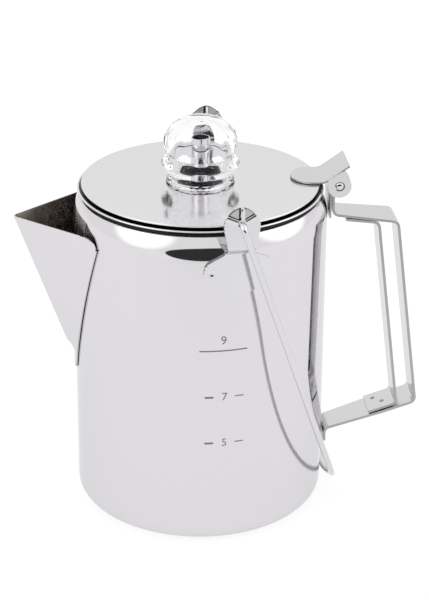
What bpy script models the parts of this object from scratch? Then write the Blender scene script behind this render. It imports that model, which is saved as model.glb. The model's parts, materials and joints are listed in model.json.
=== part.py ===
"""Nine-cup camping percolator: a drawn steel pot with a folded spout, a double strap handle,
a wire bail, a hinged lid with a clear knob, and the pump stem, basket and spreader inside.

Frame: the origin is the middle of the flat base, +Z up, +X towards the handle, -X towards
the spout, and the two bail ears lie at -Y (front) and +Y (back).
Every constant is in millimetres or degrees; MM turns millimetres into metres.
"""
import math

import bmesh
import bpy
from mathutils import Matrix, Vector

MM = 0.001
GAP = 0.3                       # clearance between pieces that touch on the real object

# --- pot -------------------------------------------------------------------------------
POT_RADIUS = 67.0
POT_WALL = 0.8
BASE_FILLET = 9.0
SHOULDER_START = 161.0          # the wall is upright up to here
SHOULDER_ARC = 26.5             # radius of the arc that draws the shoulder in
SHOULDER_SWEEP = 29.4
NECK_RADIUS = 62.2
RIM_HEIGHT = 176.3
POT_STEPS = 48

# --- spout -----------------------------------------------------------------------------
SHEET = 0.8                     # folded spout sheet
SPOUT_TOP = 163.0
SPOUT_KNEE = 91.0               # below this the leading edge runs in to the wall
SPOUT_TOE = 84.0                # and here it meets the wall
SPOUT_FOOT = 76.0
SPOUT_FOOT_ROUND = 80.0         # the foot is rounded below this height
SPOUT_REACH = 99.8              # tip of the leading edge from the pot's axis
SPOUT_SLOPE = 0.384             # how far the leading edge leans out for each millimetre up
SPOUT_SEAM_TOP = 33.6           # seam's angle from -X, near the top
SPOUT_SEAM_RATE = 0.3347        # degrees gained for each millimetre of height
SPOUT_SEAM_ZERO = 56.6          # height at which that seam line would reach -X
SPOUT_CORNER = 7.0              # rounding where the top edge runs into the seam
CORNER_START = 0.85             # share of the way from the leading edge at which it starts
NOSE_SPREAD = 0.1               # share of each side that the rounded nose takes
NOSE_FILL = 0.55                # how far the nose bulges towards the sides' meeting point
STRAINER_HOLE = 2.1             # radius
STRAINER_PITCH = 10.5           # height between rows of holes
STRAINER_STEP = 8.0             # degrees between the holes in a row
STRAINER_LOW = 100.0
STRAINER_MARGIN = 5.5           # degrees kept clear beside the seams

# --- handle ----------------------------------------------------------------------------
STRAP = 1.5
OUTER_HALF_AT_WALL = 8.5
OUTER_HALF_AT_GRIP = 10.4
OUTER_TAPER = (72.0, 100.0)     # the outer strap widens between these x
INNER_HALF = 9.2
BEND = 3.6
HANDLE_TOP = (104.3, 157.0)     # x and z of the outer strap's upper corner, mid sheet
HANDLE_FOOT = (118.3, 49.8)     # its lower corner
HANDLE_SLOPE = 0.125            # the upper arm rises this much for each millimetre inward
FLANGE_TOP = 172.5
FLANGE_FOOT = (33.9, 26.5)      # where the lower arm meets its flange, and the flange's end
INNER_TOP_X = 94.2
INNER_FOOT_X = 108.0
INNER_ENDS = (76.6, 92.8)       # x of the inner strap's two welded ends, upper and lower

# --- hinge -----------------------------------------------------------------------------
HINGE = (72.1, 178.5)           # x and z of the pin
PIN_RADIUS = 2.35
PIN_HALF_LENGTH = 11.7
PIN_HOLE = 2.65
CURL_END = -105.0               # the bracket's curl ends here, seen from -Y
LEAF = 1.0
LEAF_HALF_WIDTH = 11.5
BRACKET_HALF_WIDTH = 9.5
BRACKET_LOW = 160.0             # the bracket starts behind the outer strap's flange
RAMP_START = (64.2, 180.8)
RAMP_END = (77.0, 189.6)
EAR_RADIUS = 6.2

# --- bail ------------------------------------------------------------------------------
EAR_X = 11.9
EAR_Z = 186.0
EAR_Y = 75.7                    # mid plane of the upright ear plate
EAR_TWIST = 1.2                 # the ears' line is turned this far about the pot's axis
EAR_SHEET = 1.2
EAR_HOLE = 2.3
WIRE = 1.6                      # radius
WIRE_END_Y = 71.6               # the wire's ends stick this far in through the eyes
WIRE_Y = 79.3                   # legs' distance from the middle plane beside the ears
WIRE_BEND = 3.0
BAIL_DROP = 71.1                # angle of the hanging legs below level
BAIL_LEAD = 13.0                # the legs are straight this far past the eyes
BAIL_SHOULDER = 86.0            # distance from the eyes at which the legs are closest
BAIL_CROWN = (101.0, 74.5)      # half axes of the rounded crown, along and across the legs
BAIL_BOW = 3.7                  # the crown's middle bows towards the pot
BAIL_BOW_HALF = 30.0            # and the bow has faded out this far to either side

# --- lid and knob ----------------------------------------------------------------------
LID_TOP = 180.0
LID_RADIUS = 62.4
LID_SHEET = 0.8
LID_EDGE = 0.35                 # rounding of the top edge
LID_BEAD_RADIUS = 64.5
LID_BEAD_Z = 177.3
LID_HOLE = 14.8
SKIRT_RADIUS = 59.8
SKIRT_BOTTOM = 165.5
KNOB_TOP = 214.8
KNOB_NECK = 14.2
KNOB_NECK_LOW = 176.0
KNOB_BORE = 12.9
WASHER_RADIUS = 17.9

# --- percolating works -----------------------------------------------------------------
TUBE_RADIUS = 4.75
TUBE_WALL = 0.6
TUBE_BOTTOM = 12.0
TUBE_TOP = 204.0
BELL_RADIUS = 30.0
STOP_Z = 115.0
BASKET_RADIUS = 42.0
BASKET_FLOOR = 118.5
BASKET_RIM = 162.0
WORKS_SHEET = 0.7


# --- helpers ---------------------------------------------------------------------------
def clear_scene():
    for item in list(bpy.data.objects):
        bpy.data.objects.remove(item, do_unlink=True)


def collection(name, hidden=False):
    made = bpy.data.collections.new(name)
    bpy.context.scene.collection.children.link(made)
    made.hide_render = hidden
    return made


def material(name, colour, roughness, metallic, transmission=0.0):
    made = bpy.data.materials.new(name)
    made.use_nodes = True
    shader = made.node_tree.nodes["Principled BSDF"]
    shader.inputs["Base Color"].default_value = (*colour, 1.0)
    shader.inputs["Roughness"].default_value = roughness
    shader.inputs["Metallic"].default_value = metallic
    shader.inputs["Transmission Weight"].default_value = transmission
    return made


def arc(centre, radius, start, end, count):
    """Points on an arc in a plane, start and end in degrees, both ends included."""
    points = []
    for i in range(count + 1):
        a = math.radians(start + (end - start) * i / count)
        points.append((centre[0] + radius * math.cos(a), centre[1] + radius * math.sin(a)))
    return points


def bent(points, radius, count=4):
    """A path through the points whose inner corners are rounded with the given radius."""
    corners = [Vector(p) for p in points]
    path = [corners[0]]
    for before, corner, after in zip(corners, corners[1:], corners[2:]):
        back = (before - corner).normalized()
        ahead = (after - corner).normalized()
        half = back.angle(ahead) / 2.0
        reach = radius / math.tan(half)
        centre = corner + (back + ahead).normalized() * (radius / math.sin(half))
        start = corner + back * reach - centre
        end = corner + ahead * reach - centre
        sweep = start.angle(end)
        for i in range(count + 1):
            t = i / count
            mix = start * math.sin((1 - t) * sweep) + end * math.sin(t * sweep)
            path.append(centre + mix / math.sin(sweep))
    path.append(corners[-1])
    return path


def add_object(name, mesh, finish, where):
    made = bpy.data.objects.new(name, mesh)
    where.objects.link(made)
    if finish:
        mesh.materials.append(finish)
    return made


def smooth(piece, angle=35.0):
    piece.data.shade_smooth()
    piece.data.set_sharp_from_angle(angle=math.radians(angle))


def lathe(name, profile, finish, steps=48, closed=False):
    """Turn an (r, z) profile about the Z axis with a Screw modifier."""
    mesh = bpy.data.meshes.new(name)
    verts = [(r * MM, 0.0, z * MM) for r, z in profile]
    edges = [(i, i + 1) for i in range(len(verts) - 1)]
    if closed:
        edges.append((len(verts) - 1, 0))
    mesh.from_pydata(verts, edges, [])
    piece = add_object(name, mesh, finish, PARTS)
    screw = piece.modifiers.new("turn", "SCREW")
    screw.axis = "Z"
    screw.angle = math.tau
    screw.steps = steps
    screw.render_steps = steps
    screw.use_merge_vertices = True
    screw.merge_threshold = 0.00001
    screw.use_smooth_shade = True
    return piece


def ring(name, inner, outer, bottom, top, finish, steps=32):
    """A plain turned ring, drawn down its outer side."""
    profile = [(inner, top), (outer, top), (outer, bottom), (inner, bottom)]
    return lathe(name, profile, finish, steps, closed=True)


def grid(name, rows, thickness, finish, offset=0.0):
    """A sheet through rows of points, thickened by Solidify."""
    made = bmesh.new()
    verts = [[made.verts.new(Vector(p) * MM) for p in row] for row in rows]
    for low, high in zip(verts, verts[1:]):
        for i in range(len(low) - 1):
            made.faces.new((low[i], low[i + 1], high[i + 1], high[i]))
    mesh = bpy.data.meshes.new(name)
    made.to_mesh(mesh)
    made.free()
    piece = add_object(name, mesh, finish, PARTS)
    solid = piece.modifiers.new("sheet", "SOLIDIFY")
    solid.thickness = thickness * MM
    solid.offset = offset
    solid.use_even_offset = True
    smooth(piece)
    return piece


def strap(name, path, half_width, thickness, finish):
    """A flat strap: a path in the XZ plane, swept across Y; half_width may be a function of x."""
    rows = []
    for x, z in path:
        half = half_width(x) if callable(half_width) else half_width
        rows.append([(x, -half, z), (x, half, z)])
    return grid(name, rows, thickness, finish)


def to_mesh(curve_object):
    """Replace a curve object by its mesh, with the end caps welded on."""
    evaluated = curve_object.evaluated_get(bpy.context.evaluated_depsgraph_get())
    mesh = bpy.data.meshes.new_from_object(evaluated)
    made = bmesh.new()
    made.from_mesh(mesh)
    bmesh.ops.remove_doubles(made, verts=made.verts, dist=0.00001)
    made.to_mesh(mesh)
    made.free()
    piece = bpy.data.objects.new(curve_object.name + ".mesh", mesh)
    piece.matrix_world = curve_object.matrix_world
    for owner in curve_object.users_collection:
        owner.objects.link(piece)
    name = curve_object.name
    bpy.data.objects.remove(curve_object, do_unlink=True)
    piece.name = name
    return piece


def wire(name, points, radius, finish):
    """A round wire along a path of points."""
    curve = bpy.data.curves.new(name, "CURVE")
    curve.dimensions = "3D"
    curve.bevel_depth = radius * MM
    curve.bevel_resolution = 2
    curve.use_fill_caps = True
    spline = curve.splines.new("POLY")
    spline.points.add(len(points) - 1)
    for point, place in zip(spline.points, points):
        point.co = (*(Vector(place) * MM), 1.0)
    curve_object = bpy.data.objects.new(name, curve)
    PARTS.objects.link(curve_object)
    piece = to_mesh(curve_object)
    piece.data.materials.clear()
    piece.data.materials.append(finish)
    smooth(piece, 50.0)
    return piece


def plate(name, outline, thickness, finish, where):
    """A flat plate: an (x, z) outline, centred on y = 0 and `thickness` thick."""
    curve = bpy.data.curves.new(name, "CURVE")
    curve.dimensions = "2D"
    curve.fill_mode = "BOTH"
    curve.extrude = thickness / 2.0 * MM
    spline = curve.splines.new("POLY")
    spline.use_cyclic_u = True
    spline.points.add(len(outline) - 1)
    for point, (x, z) in zip(spline.points, outline):
        point.co = (x * MM, z * MM, 0.0, 1.0)
    curve_object = bpy.data.objects.new(name, curve)
    where.objects.link(curve_object)
    piece = to_mesh(curve_object)
    piece.data.transform(Matrix.Rotation(math.radians(90.0), 4, "X"))
    if finish:
        piece.data.materials.clear()
        piece.data.materials.append(finish)
    return piece


def rods(name, places, radius, length, sides=8):
    """Cutter made of loose rods: each place is a centre and a direction."""
    made = bmesh.new()
    for centre, direction in places:
        turn = Vector(direction).to_track_quat("Z", "Y").to_matrix().to_4x4()
        frame = Matrix.Translation(Vector(centre) * MM) @ turn
        bmesh.ops.create_cone(made, cap_ends=True, segments=sides, radius1=radius * MM,
                              radius2=radius * MM, depth=length * MM, matrix=frame)
    mesh = bpy.data.meshes.new(name)
    made.to_mesh(mesh)
    made.free()
    return hide(add_object(name, mesh, None, CUTTERS))


def block(name, centre, size, turn=0.0):
    """Cutter or filler in the shape of a box, turned about Z."""
    made = bmesh.new()
    frame = Matrix.Translation(Vector(centre) * MM) @ Matrix.Rotation(math.radians(turn), 4, "Z")
    scale = Matrix.Diagonal((*(Vector(size) * MM), 1.0))
    bmesh.ops.create_cube(made, size=1.0, matrix=frame @ scale)
    mesh = bpy.data.meshes.new(name)
    made.to_mesh(mesh)
    made.free()
    return hide(add_object(name, mesh, None, CUTTERS))


def hide(piece):
    piece.hide_render = True
    piece.display_type = "WIRE"
    return piece


def combine(piece, other, operation="DIFFERENCE"):
    change = piece.modifiers.new(other.name, "BOOLEAN")
    change.operation = operation
    change.solver = "EXACT"
    change.object = other
    return piece


def axis(name, place):
    """An empty on a joint's axis, which the moving pieces hang from."""
    made = bpy.data.objects.new(name, None)
    made.location = Vector(place) * MM
    made.empty_display_size = 0.02
    PARTS.objects.link(made)
    return made


def hang(holder, *pieces):
    for piece in pieces:
        piece.parent = holder
        piece.location = piece.location - holder_place(holder)


def holder_place(holder):
    place = holder.location.copy()
    while holder.parent:
        holder = holder.parent
        place += holder.location
    return place


# --- the pot and what is fixed to it ---------------------------------------------------
def seam_angle(z):
    """Half the spout's opening on the wall, in degrees from -X, at height z."""
    wanted = min(SPOUT_SEAM_TOP, SPOUT_SEAM_RATE * (z - SPOUT_SEAM_ZERO))
    down = max(0.0, (SPOUT_FOOT_ROUND - z) / (SPOUT_FOOT_ROUND - SPOUT_FOOT))
    return wanted * math.sqrt(max(0.03, 1.0 - down * down))


def spout_skin():
    """Radius of the spout's outer face where it lies against the wall."""
    return POT_RADIUS + GAP + SHEET


def spout_edge(z):
    """Distance of the leading edge from the pot's axis at height z."""
    skin = spout_skin() + 0.02
    if z <= SPOUT_TOE:
        return skin
    if z < SPOUT_KNEE:
        knee = SPOUT_REACH - SPOUT_SLOPE * (SPOUT_TOP - SPOUT_KNEE)
        return skin + (knee - skin) * ((z - SPOUT_TOE) / (SPOUT_KNEE - SPOUT_TOE)) ** 1.5
    return SPOUT_REACH - SPOUT_SLOPE * (SPOUT_TOP - z)


def make_pot():
    centre = (POT_RADIUS - SHOULDER_ARC, SHOULDER_START)
    base = (POT_RADIUS - BASE_FILLET, BASE_FILLET)
    neck = NECK_RADIUS - POT_WALL
    inside = arc(base, BASE_FILLET - POT_WALL, -90.0, 0.0, 5)
    inside += arc(centre, SHOULDER_ARC - POT_WALL, 0.0, SHOULDER_SWEEP, 4)
    inside += [(neck, RIM_HEIGHT - 1.8), (neck, RIM_HEIGHT)]
    outside = [(NECK_RADIUS, RIM_HEIGHT), (NECK_RADIUS, RIM_HEIGHT - 1.0)]
    outside += arc(centre, SHOULDER_ARC, SHOULDER_SWEEP, 0.0, 4)
    outside += arc(base, BASE_FILLET, 0.0, -90.0, 5)
    profile = [(0.0, POT_WALL)] + inside + outside + [(0.0, 0.0)]
    pot = lathe("pot_body", profile, STEEL, POT_STEPS)
    return combine(pot, rods("strainer_holes", strainer_places(), STRAINER_HOLE, 6.0, 6))


def strainer_places():
    """Staggered rows of holes through the wall behind the spout."""
    places = []
    row = 0
    z = STRAINER_LOW
    while z < SPOUT_TOP - 8.0:
        limit = seam_angle(z) - STRAINER_MARGIN
        count = int(limit // STRAINER_STEP)
        shift = STRAINER_STEP / 2.0 if row % 2 else 0.0
        for i in range(-count, count + 1):
            angle = STRAINER_STEP * i + shift
            if abs(angle) <= limit:
                a = math.radians(180.0 + angle)
                out = (math.cos(a), math.sin(a), 0.0)
                places.append(((POT_RADIUS * out[0], POT_RADIUS * out[1], z), out))
        row += 1
        z += STRAINER_PITCH
    return places


def make_spout():
    """Folded sheet: each level is a V whose nose is rounded and whose ends lie on the wall."""
    levels = (76.0, 76.4, 77.4, 79.0, 81.5, 84.0, 85.5, 87.0, 89.0, 91.5, 100.0, 113.0, 130.0, 146.0,
              SPOUT_TOP)
    across = [1.0, 0.93, 0.85, 0.7, 0.45, 0.2, 0.1, 0.04, 0.0]
    across += [-u for u in reversed(across[:-1])]
    rows = []
    for level in levels:
        row = []
        for u in across:
            drop = 0.0
            if abs(u) > CORNER_START:
                ease = (abs(u) - CORNER_START) / (1.0 - CORNER_START)
                drop = SPOUT_CORNER * (1.0 - math.sqrt(max(0.0, 1.0 - ease * ease)))
            z = level - drop * (level - SPOUT_FOOT) / (SPOUT_TOP - SPOUT_FOOT)
            row.append((*spout_point(z, u), z))
        rows.append(row)
    return grid("spout", rows, SHEET, STEEL, offset=-1.0)


def spout_point(z, u):
    """Outer face at height z; u is -1 or 1 at the seams and 0 at the leading edge."""
    edge = spout_edge(z)
    skin = spout_skin()
    a = math.radians(seam_angle(z))
    touching = math.acos(skin / edge)
    v = abs(u)
    if a > touching:
        turn = v * a
        reach = skin / math.cos(max(0.0, touching - turn))
        return -reach * math.cos(turn), math.copysign(reach * math.sin(turn), u)
    seam = Vector((-skin * math.cos(a), skin * math.sin(a)))
    nose = Vector((-edge, 0.0))
    if v >= NOSE_SPREAD:
        place = nose.lerp(seam, v)
    else:
        start = nose.lerp(seam, NOSE_SPREAD)
        bulge = start.x - (start.x - nose.x) * NOSE_FILL * (1.0 - (v / NOSE_SPREAD) ** 2)
        place = Vector((bulge, start.y * v / NOSE_SPREAD))
    return place.x, math.copysign(place.y, u)


def outer_half_width(x):
    """Half the outer strap's width: narrow where it is welded on, full in the hand."""
    start, end = OUTER_TAPER
    share = min(1.0, max(0.0, (x - start) / (end - start)))
    return OUTER_HALF_AT_WALL + (OUTER_HALF_AT_GRIP - OUTER_HALF_AT_WALL) * share


def make_handle():
    """Two bent straps, one inside the other, joined along their arms."""
    wall = POT_RADIUS + GAP + STRAP / 2.0
    top_flange = wall + LEAF + GAP + 0.2
    low_flange = wall + 0.6
    slope = HANDLE_SLOPE
    foot_slope = (HANDLE_FOOT[1] - FLANGE_FOOT[0]) / (HANDLE_FOOT[0] - low_flange)
    outer = [(top_flange, FLANGE_TOP),
             (top_flange, HANDLE_TOP[1] + slope * (HANDLE_TOP[0] - top_flange)),
             HANDLE_TOP, HANDLE_FOOT, (low_flange, FLANGE_FOOT[0]), (low_flange, FLANGE_FOOT[1])]
    outside = strap("handle_outer_strap", bent(outer, BEND), outer_half_width, STRAP, SATIN)
    step = STRAP + GAP
    inner_top = HANDLE_TOP[1] + slope * (HANDLE_TOP[0] - INNER_TOP_X) - step * math.hypot(1.0, slope)
    inner_foot = HANDLE_FOOT[1] - foot_slope * (HANDLE_FOOT[0] - INNER_FOOT_X)
    inner_foot += step * math.hypot(1.0, foot_slope)
    inner_start = (INNER_ENDS[0], inner_top + slope * (INNER_TOP_X - INNER_ENDS[0]))
    inner_end = (INNER_ENDS[1], inner_foot - foot_slope * (INNER_FOOT_X - INNER_ENDS[1]))
    inner = [inner_start, (INNER_TOP_X, inner_top), (INNER_FOOT_X, inner_foot), inner_end]
    inside = strap("handle_inner_strap", bent(inner, BEND), INNER_HALF, STRAP, SATIN)
    return outside, inside


def make_hinge_bracket():
    """A plate on the wall whose upper end curls round the pin."""
    plate_x = POT_RADIUS + 0.4 + LEAF / 2.0
    curl = PIN_RADIUS + 0.35 + LEAF / 2.0
    path = [(plate_x, BRACKET_LOW), (plate_x, 171.0), (HINGE[0] - curl, 175.0)]
    path += arc(HINGE, curl, 180.0, CURL_END, 12)
    bracket = strap("hinge_bracket", path, BRACKET_HALF_WIDTH, LEAF, SATIN)
    head = [(0.0, PIN_HALF_LENGTH), (1.3, PIN_HALF_LENGTH - 0.2), (PIN_RADIUS, PIN_HALF_LENGTH - 0.8)]
    pin = lathe("hinge_pin", head + [(r, -y) for r, y in reversed(head)], STEEL, 16)
    pin.rotation_euler = (math.radians(90.0), 0.0, 0.0)
    pin.location = Vector((HINGE[0], 0.0, HINGE[1])) * MM
    return bracket, pin


def ear_rows(side):
    """Foot welded on the wall, a neck that leans out, and the upright plate above it."""
    foot = [(144.6, 5.0), (146.2, 9.6), (149.5, 14.2), (153.0, 17.3), (156.4, 18.1),
            (159.5, 17.5), (161.6, 16.5), (163.4, 13.3), (164.9, 10.4), (166.4, 7.0)]
    neck = [(167.6, 6.7, 0.15), (169.2, 6.6, 0.45), (171.2, 6.7, 0.85), (173.2, 7.0, 1.0)]
    upright = [(178.4, 8.0), (182.3, 8.85), (186.0, 9.05), (188.0, 8.6), (190.0, 7.3),
               (192.0, 5.4), (193.5, 3.3), (194.3, 1.2)]
    rows = [ear_row(side, z, half, 0.0) for z, half in foot]
    rows += [ear_row(side, z, half, lean) for z, half, lean in neck]
    rows += [ear_row(side, z, half, 1.0) for z, half in upright]
    return rows


def ear_row(side, z, half, lean):
    """Points across the ear at height z; lean is 0 on the wall and 1 in the upright plate."""
    skin = POT_RADIUS + GAP + EAR_SHEET / 2.0
    row = []
    for i in range(7):
        x = EAR_X + half * (i / 3.0 - 1.0)
        on_wall = math.sqrt(skin * skin - x * x)
        y = on_wall + lean * (EAR_Y - on_wall)
        row.append((x, side * y, z))
    return row


def make_ear(name, side):
    ear = grid(name, ear_rows(side), EAR_SHEET, SATIN)
    hole = rods(name + "_hole", [((EAR_X, side * EAR_Y, EAR_Z), (0.0, 1.0, 0.0))], EAR_HOLE, 8.0, 12)
    for piece in (ear, hole):
        piece.rotation_euler.z = math.radians(EAR_TWIST)
    return combine(ear, hole)


# --- the moving pieces -----------------------------------------------------------------
def bail_path():
    """The wire from eye to eye, drawn from the middle of the ears' line: legs, then the crown."""
    drop = math.radians(BAIL_DROP)
    along = Vector((math.cos(drop), 0.0, -math.sin(drop)))
    inward = Vector((-math.sin(drop), 0.0, -math.cos(drop)))
    length, half = BAIL_CROWN

    def place(distance, y):
        bow = 0.0
        if distance > BAIL_SHOULDER and abs(y) < BAIL_BOW_HALF:
            bow = BAIL_BOW * (1.0 + math.cos(math.pi * y / BAIL_BOW_HALF)) / 2.0
        return along * distance + inward * bow + Vector((0.0, y, 0.0))

    path = bent([place(0.0, -WIRE_END_Y), place(0.0, -WIRE_Y), place(BAIL_LEAD, -WIRE_Y)], WIRE_BEND)
    for i in range(1, 7):
        share = i / 6.0
        y = half + (WIRE_Y - half) * (1.0 - share) ** 2
        path.append(place(BAIL_LEAD + (BAIL_SHOULDER - BAIL_LEAD) * share, -y))
    for i in range(1, 15):
        a = math.radians(90.0 * i / 14.0)
        path.append(place(BAIL_SHOULDER + length * math.sin(a), -half * math.cos(a)))
    mirrored = [Vector((p.x, -p.y, p.z)) for p in reversed(path[:-1])]
    return path + mirrored


def make_lid():
    plate_mid = LID_TOP - LID_SHEET / 2.0
    wall_mid = LID_RADIUS - LID_SHEET / 2.0
    half = LID_SHEET / 2.0
    edge = arc((LID_RADIUS - LID_EDGE, LID_TOP - LID_EDGE), LID_EDGE, 90.0, 0.0, 2)
    profile = [(LID_HOLE, LID_TOP)] + edge
    profile += [(LID_RADIUS, LID_TOP - 1.0), (LID_RADIUS - 0.5, LID_TOP - 1.4),
               (LID_RADIUS - 0.5, LID_BEAD_Z + half), (LID_BEAD_RADIUS - 0.3, LID_BEAD_Z + half),
               (LID_BEAD_RADIUS, LID_BEAD_Z), (LID_BEAD_RADIUS - 0.3, LID_BEAD_Z - half),
               (wall_mid - 0.8, LID_BEAD_Z - half), (wall_mid - 0.8, plate_mid - half),
               (LID_HOLE, plate_mid - half)]
    lid = lathe("lid_plate", profile, BRUSHED, POT_STEPS, closed=True)
    notch = block("knob_notches", (0.0, 0.0, LID_TOP), (6.5, 33.6, 6.0))
    combine(lid, notch)
    top = LID_TOP - LID_SHEET - GAP
    skirt = lathe("lid_skirt", [(55.0, top), (SKIRT_RADIUS, top), (SKIRT_RADIUS, SKIRT_BOTTOM),
                                (SKIRT_RADIUS - 0.7, SKIRT_BOTTOM), (SKIRT_RADIUS - 0.7, top - 0.7),
                                (55.0, top - 0.7)], STEEL, POT_STEPS, closed=True)
    return lid, skirt, make_hinge_leaf()


def make_hinge_leaf():
    """Round tongue on the lid, a ramp for the thumb, and an ear folded down on each side."""
    base = LID_TOP + GAP + LEAF / 2.0
    reach = LEAF_HALF_WIDTH
    tongue_x = 59.0
    path = []
    for i in range(7):
        a = math.radians(8.0 + 82.0 * i / 6.0)
        path.append((tongue_x - reach * math.cos(a), base))
    path += bent([(tongue_x + 1.0, base), RAMP_START, RAMP_END], 5.0, 4)

    def half_width(x):
        if x >= tongue_x:
            return reach
        return math.sqrt(max(1.0, reach * reach - (tongue_x - x) ** 2))

    leaf = strap("lid_hinge_leaf", path, half_width, LEAF, SATIN)
    outline = [(65.9, 182.3), (74.8, 187.3), (76.6, 184.6)]
    outline += arc(HINGE, EAR_RADIUS, 12.0, -165.0, 9)
    for side in (-1, 1):
        ear = plate("leaf_ear_%s" % ("front" if side < 0 else "back"), outline, LEAF, None, CUTTERS)
        ear.location = Vector((0.0, side * (reach - LEAF / 2.0), 0.0)) * MM
        combine(leaf, hide(ear), "UNION")
    pin_hole = rods("pin_hole", [((HINGE[0], 0.0, HINGE[1]), (0.0, 1.0, 0.0))], PIN_HOLE, 30.0, 16)
    return combine(leaf, pin_hole)


def make_knob():
    """Clear dome on a flange and skirt; its neck and two lugs go through the lid's hole."""
    skirt_bottom = LID_TOP + 2.3
    dome = [(0.0, KNOB_TOP), (4.0, 214.7), (8.0, 214.2), (12.0, 212.6), (15.3, 210.4), (17.6, 207.8),
            (19.0, 205.0), (19.4, 202.6), (19.1, 200.0), (18.2, 197.5), (16.8, 195.2)]
    flange = [(16.8, 194.2), (18.6, 192.4), (20.3, 191.2), (20.4, 190.2), (18.4, 187.6), (16.9, 185.4),
              (16.8, skirt_bottom), (KNOB_NECK, skirt_bottom)]
    neck = [(KNOB_NECK, KNOB_NECK_LOW), (KNOB_BORE, KNOB_NECK_LOW), (KNOB_BORE, 190.0)]
    hollow = [(13.4, 194.0), (14.6, 198.0), (15.2, 203.0), (13.6, 207.0), (9.5, 210.0), (0.0, 212.0)]
    knob = lathe("knob", dome + flange + neck + hollow, CLEAR, 32)
    lug = block("knob_lugs", (0.0, 0.0, 177.8), (33.0, 6.0, 1.6))
    bore = rods("knob_bore", [((0.0, 0.0, 177.0), (0.0, 0.0, 1.0))], KNOB_BORE, 4.0, 32)
    combine(lug, bore)
    combine(knob, lug, "UNION")
    washer = ring("knob_washer", KNOB_NECK + GAP, WASHER_RADIUS, LID_TOP + GAP, skirt_bottom - GAP,
                  CLEAR, 32)
    return knob, washer


def make_stem():
    """Riser tube, the bell that it stands on, and the collar that carries the basket."""
    inner = TUBE_RADIUS - TUBE_WALL
    tube = ring("pump_tube", inner, TUBE_RADIUS, TUBE_BOTTOM, TUBE_TOP, STEEL, 20)
    neck = TUBE_RADIUS + GAP
    t = WORKS_SHEET
    outside = [(neck + t, 26.0), (neck + t, 16.0), (9.0, 11.6), (24.0, 6.4), (28.6, 3.2), (29.4, 2.2),
               (BELL_RADIUS + 1.6, 2.0), (BELL_RADIUS + 1.6, 2.0 - t), (28.6, 2.0 - t)]
    inside = [(27.8, 2.6), (23.6, 5.7), (8.6, 10.9), (neck, 15.4), (neck, 26.0)]
    bell = lathe("pump_base", outside + inside, STEEL, 32, closed=True)
    slots = []
    for i in range(4):
        a = math.radians(45.0 + 90.0 * i)
        slots.append(((27.0 * math.cos(a), 27.0 * math.sin(a), 5.0), (math.cos(a), math.sin(a), 1.4)))
    combine(bell, rods("bell_slots", slots, 1.6, 8.0, 8))
    collar = ring("basket_stop_collar", neck, 7.6, STOP_Z, STOP_Z + 2.2, STEEL, 20)
    return tube, bell, collar


def make_basket():
    """Perforated cup with a rolled rim and the sleeve that slides on the riser tube."""
    t = WORKS_SHEET
    sleeve = TUBE_RADIUS + 0.45
    hole = sleeve + t + GAP
    floor = BASKET_FLOOR
    outside = [(hole, floor + t), (BASKET_RADIUS - 4.0, floor + t)]
    outside += arc((BASKET_RADIUS - 3.6, floor + 3.6), 2.9, -90.0, 0.0, 3)
    outside += [(BASKET_RADIUS - t, BASKET_RIM), (BASKET_RADIUS + 1.6, BASKET_RIM),
                (BASKET_RADIUS + 1.6, BASKET_RIM - t), (BASKET_RADIUS, BASKET_RIM - t)]
    outside += arc((BASKET_RADIUS - 3.6, floor + 3.6), 3.6, 0.0, -90.0, 3)
    outside += [(hole, floor)]
    basket = lathe("basket_shell", outside, SATIN, 32, closed=True)
    holes = ring_places(floor, ((14.0, 6), (24.0, 10), (33.0, 14)))
    combine(basket, rods("basket_holes", holes, 1.6, 6.0, 6))
    flange_top = floor - GAP
    tube = lathe("basket_sleeve", [(sleeve, BASKET_RIM), (sleeve + t, BASKET_RIM),
                                   (sleeve + t, flange_top), (9.4, flange_top),
                                   (9.4, flange_top - t), (sleeve, flange_top - t)],
                 SATIN, 20, closed=True)
    return basket, tube


def ring_places(z, rings):
    """Upright rods on concentric rings, each ring given as a radius and a count."""
    places = []
    for radius, count in rings:
        for i in range(count):
            a = math.tau * i / count
            places.append(((radius * math.cos(a), radius * math.sin(a), z), (0.0, 0.0, 1.0)))
    return places


def make_spreader():
    """Perforated lid of the basket, with a collar round the tube and a turned-down edge."""
    t = WORKS_SHEET
    bore = TUBE_RADIUS + 0.45
    top = BASKET_RIM + 2.0
    edge = BASKET_RADIUS - t - 1.0
    profile = [(bore, top + 4.6), (bore + t, top + 4.6), (bore + t, top + 0.6), (12.0, top),
               (edge, top), (edge, top - 6.0), (edge - t, top - 6.0), (edge - t, top - t),
               (12.0, top - t), (bore, top - 0.1)]
    spreader = lathe("basket_lid", profile, SATIN, 32, closed=True)
    holes = ring_places(top, ((17.0, 6), (27.0, 10), (35.0, 12)))
    return combine(spreader, rods("spreader_holes", holes, 1.6, 6.0, 6))


# --- assembly --------------------------------------------------------------------------
clear_scene()
PARTS = collection("coffee_percolator")
CUTTERS = collection("cutters", hidden=True)
STEEL = material("polished_steel", (0.78, 0.78, 0.79), 0.08, 1.0)
SATIN = material("satin_steel", (0.74, 0.74, 0.75), 0.28, 1.0)
BRUSHED = material("brushed_lid_steel", (0.76, 0.76, 0.77), 0.32, 1.0)
CLEAR = material("clear_knob", (0.97, 0.98, 0.99), 0.03, 0.0, 1.0)

make_pot()
make_spout()
make_handle()
make_hinge_bracket()
make_ear("bail_ear_front", -1)
make_ear("bail_ear_back", 1)

lid_axis = axis("lid_axis", (HINGE[0], 0.0, HINGE[1]))
hang(lid_axis, *make_lid())
knob_axis = axis("knob_axis", (0.0, 0.0, LID_TOP))
hang(knob_axis, *make_knob())
hang(lid_axis, knob_axis)

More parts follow.
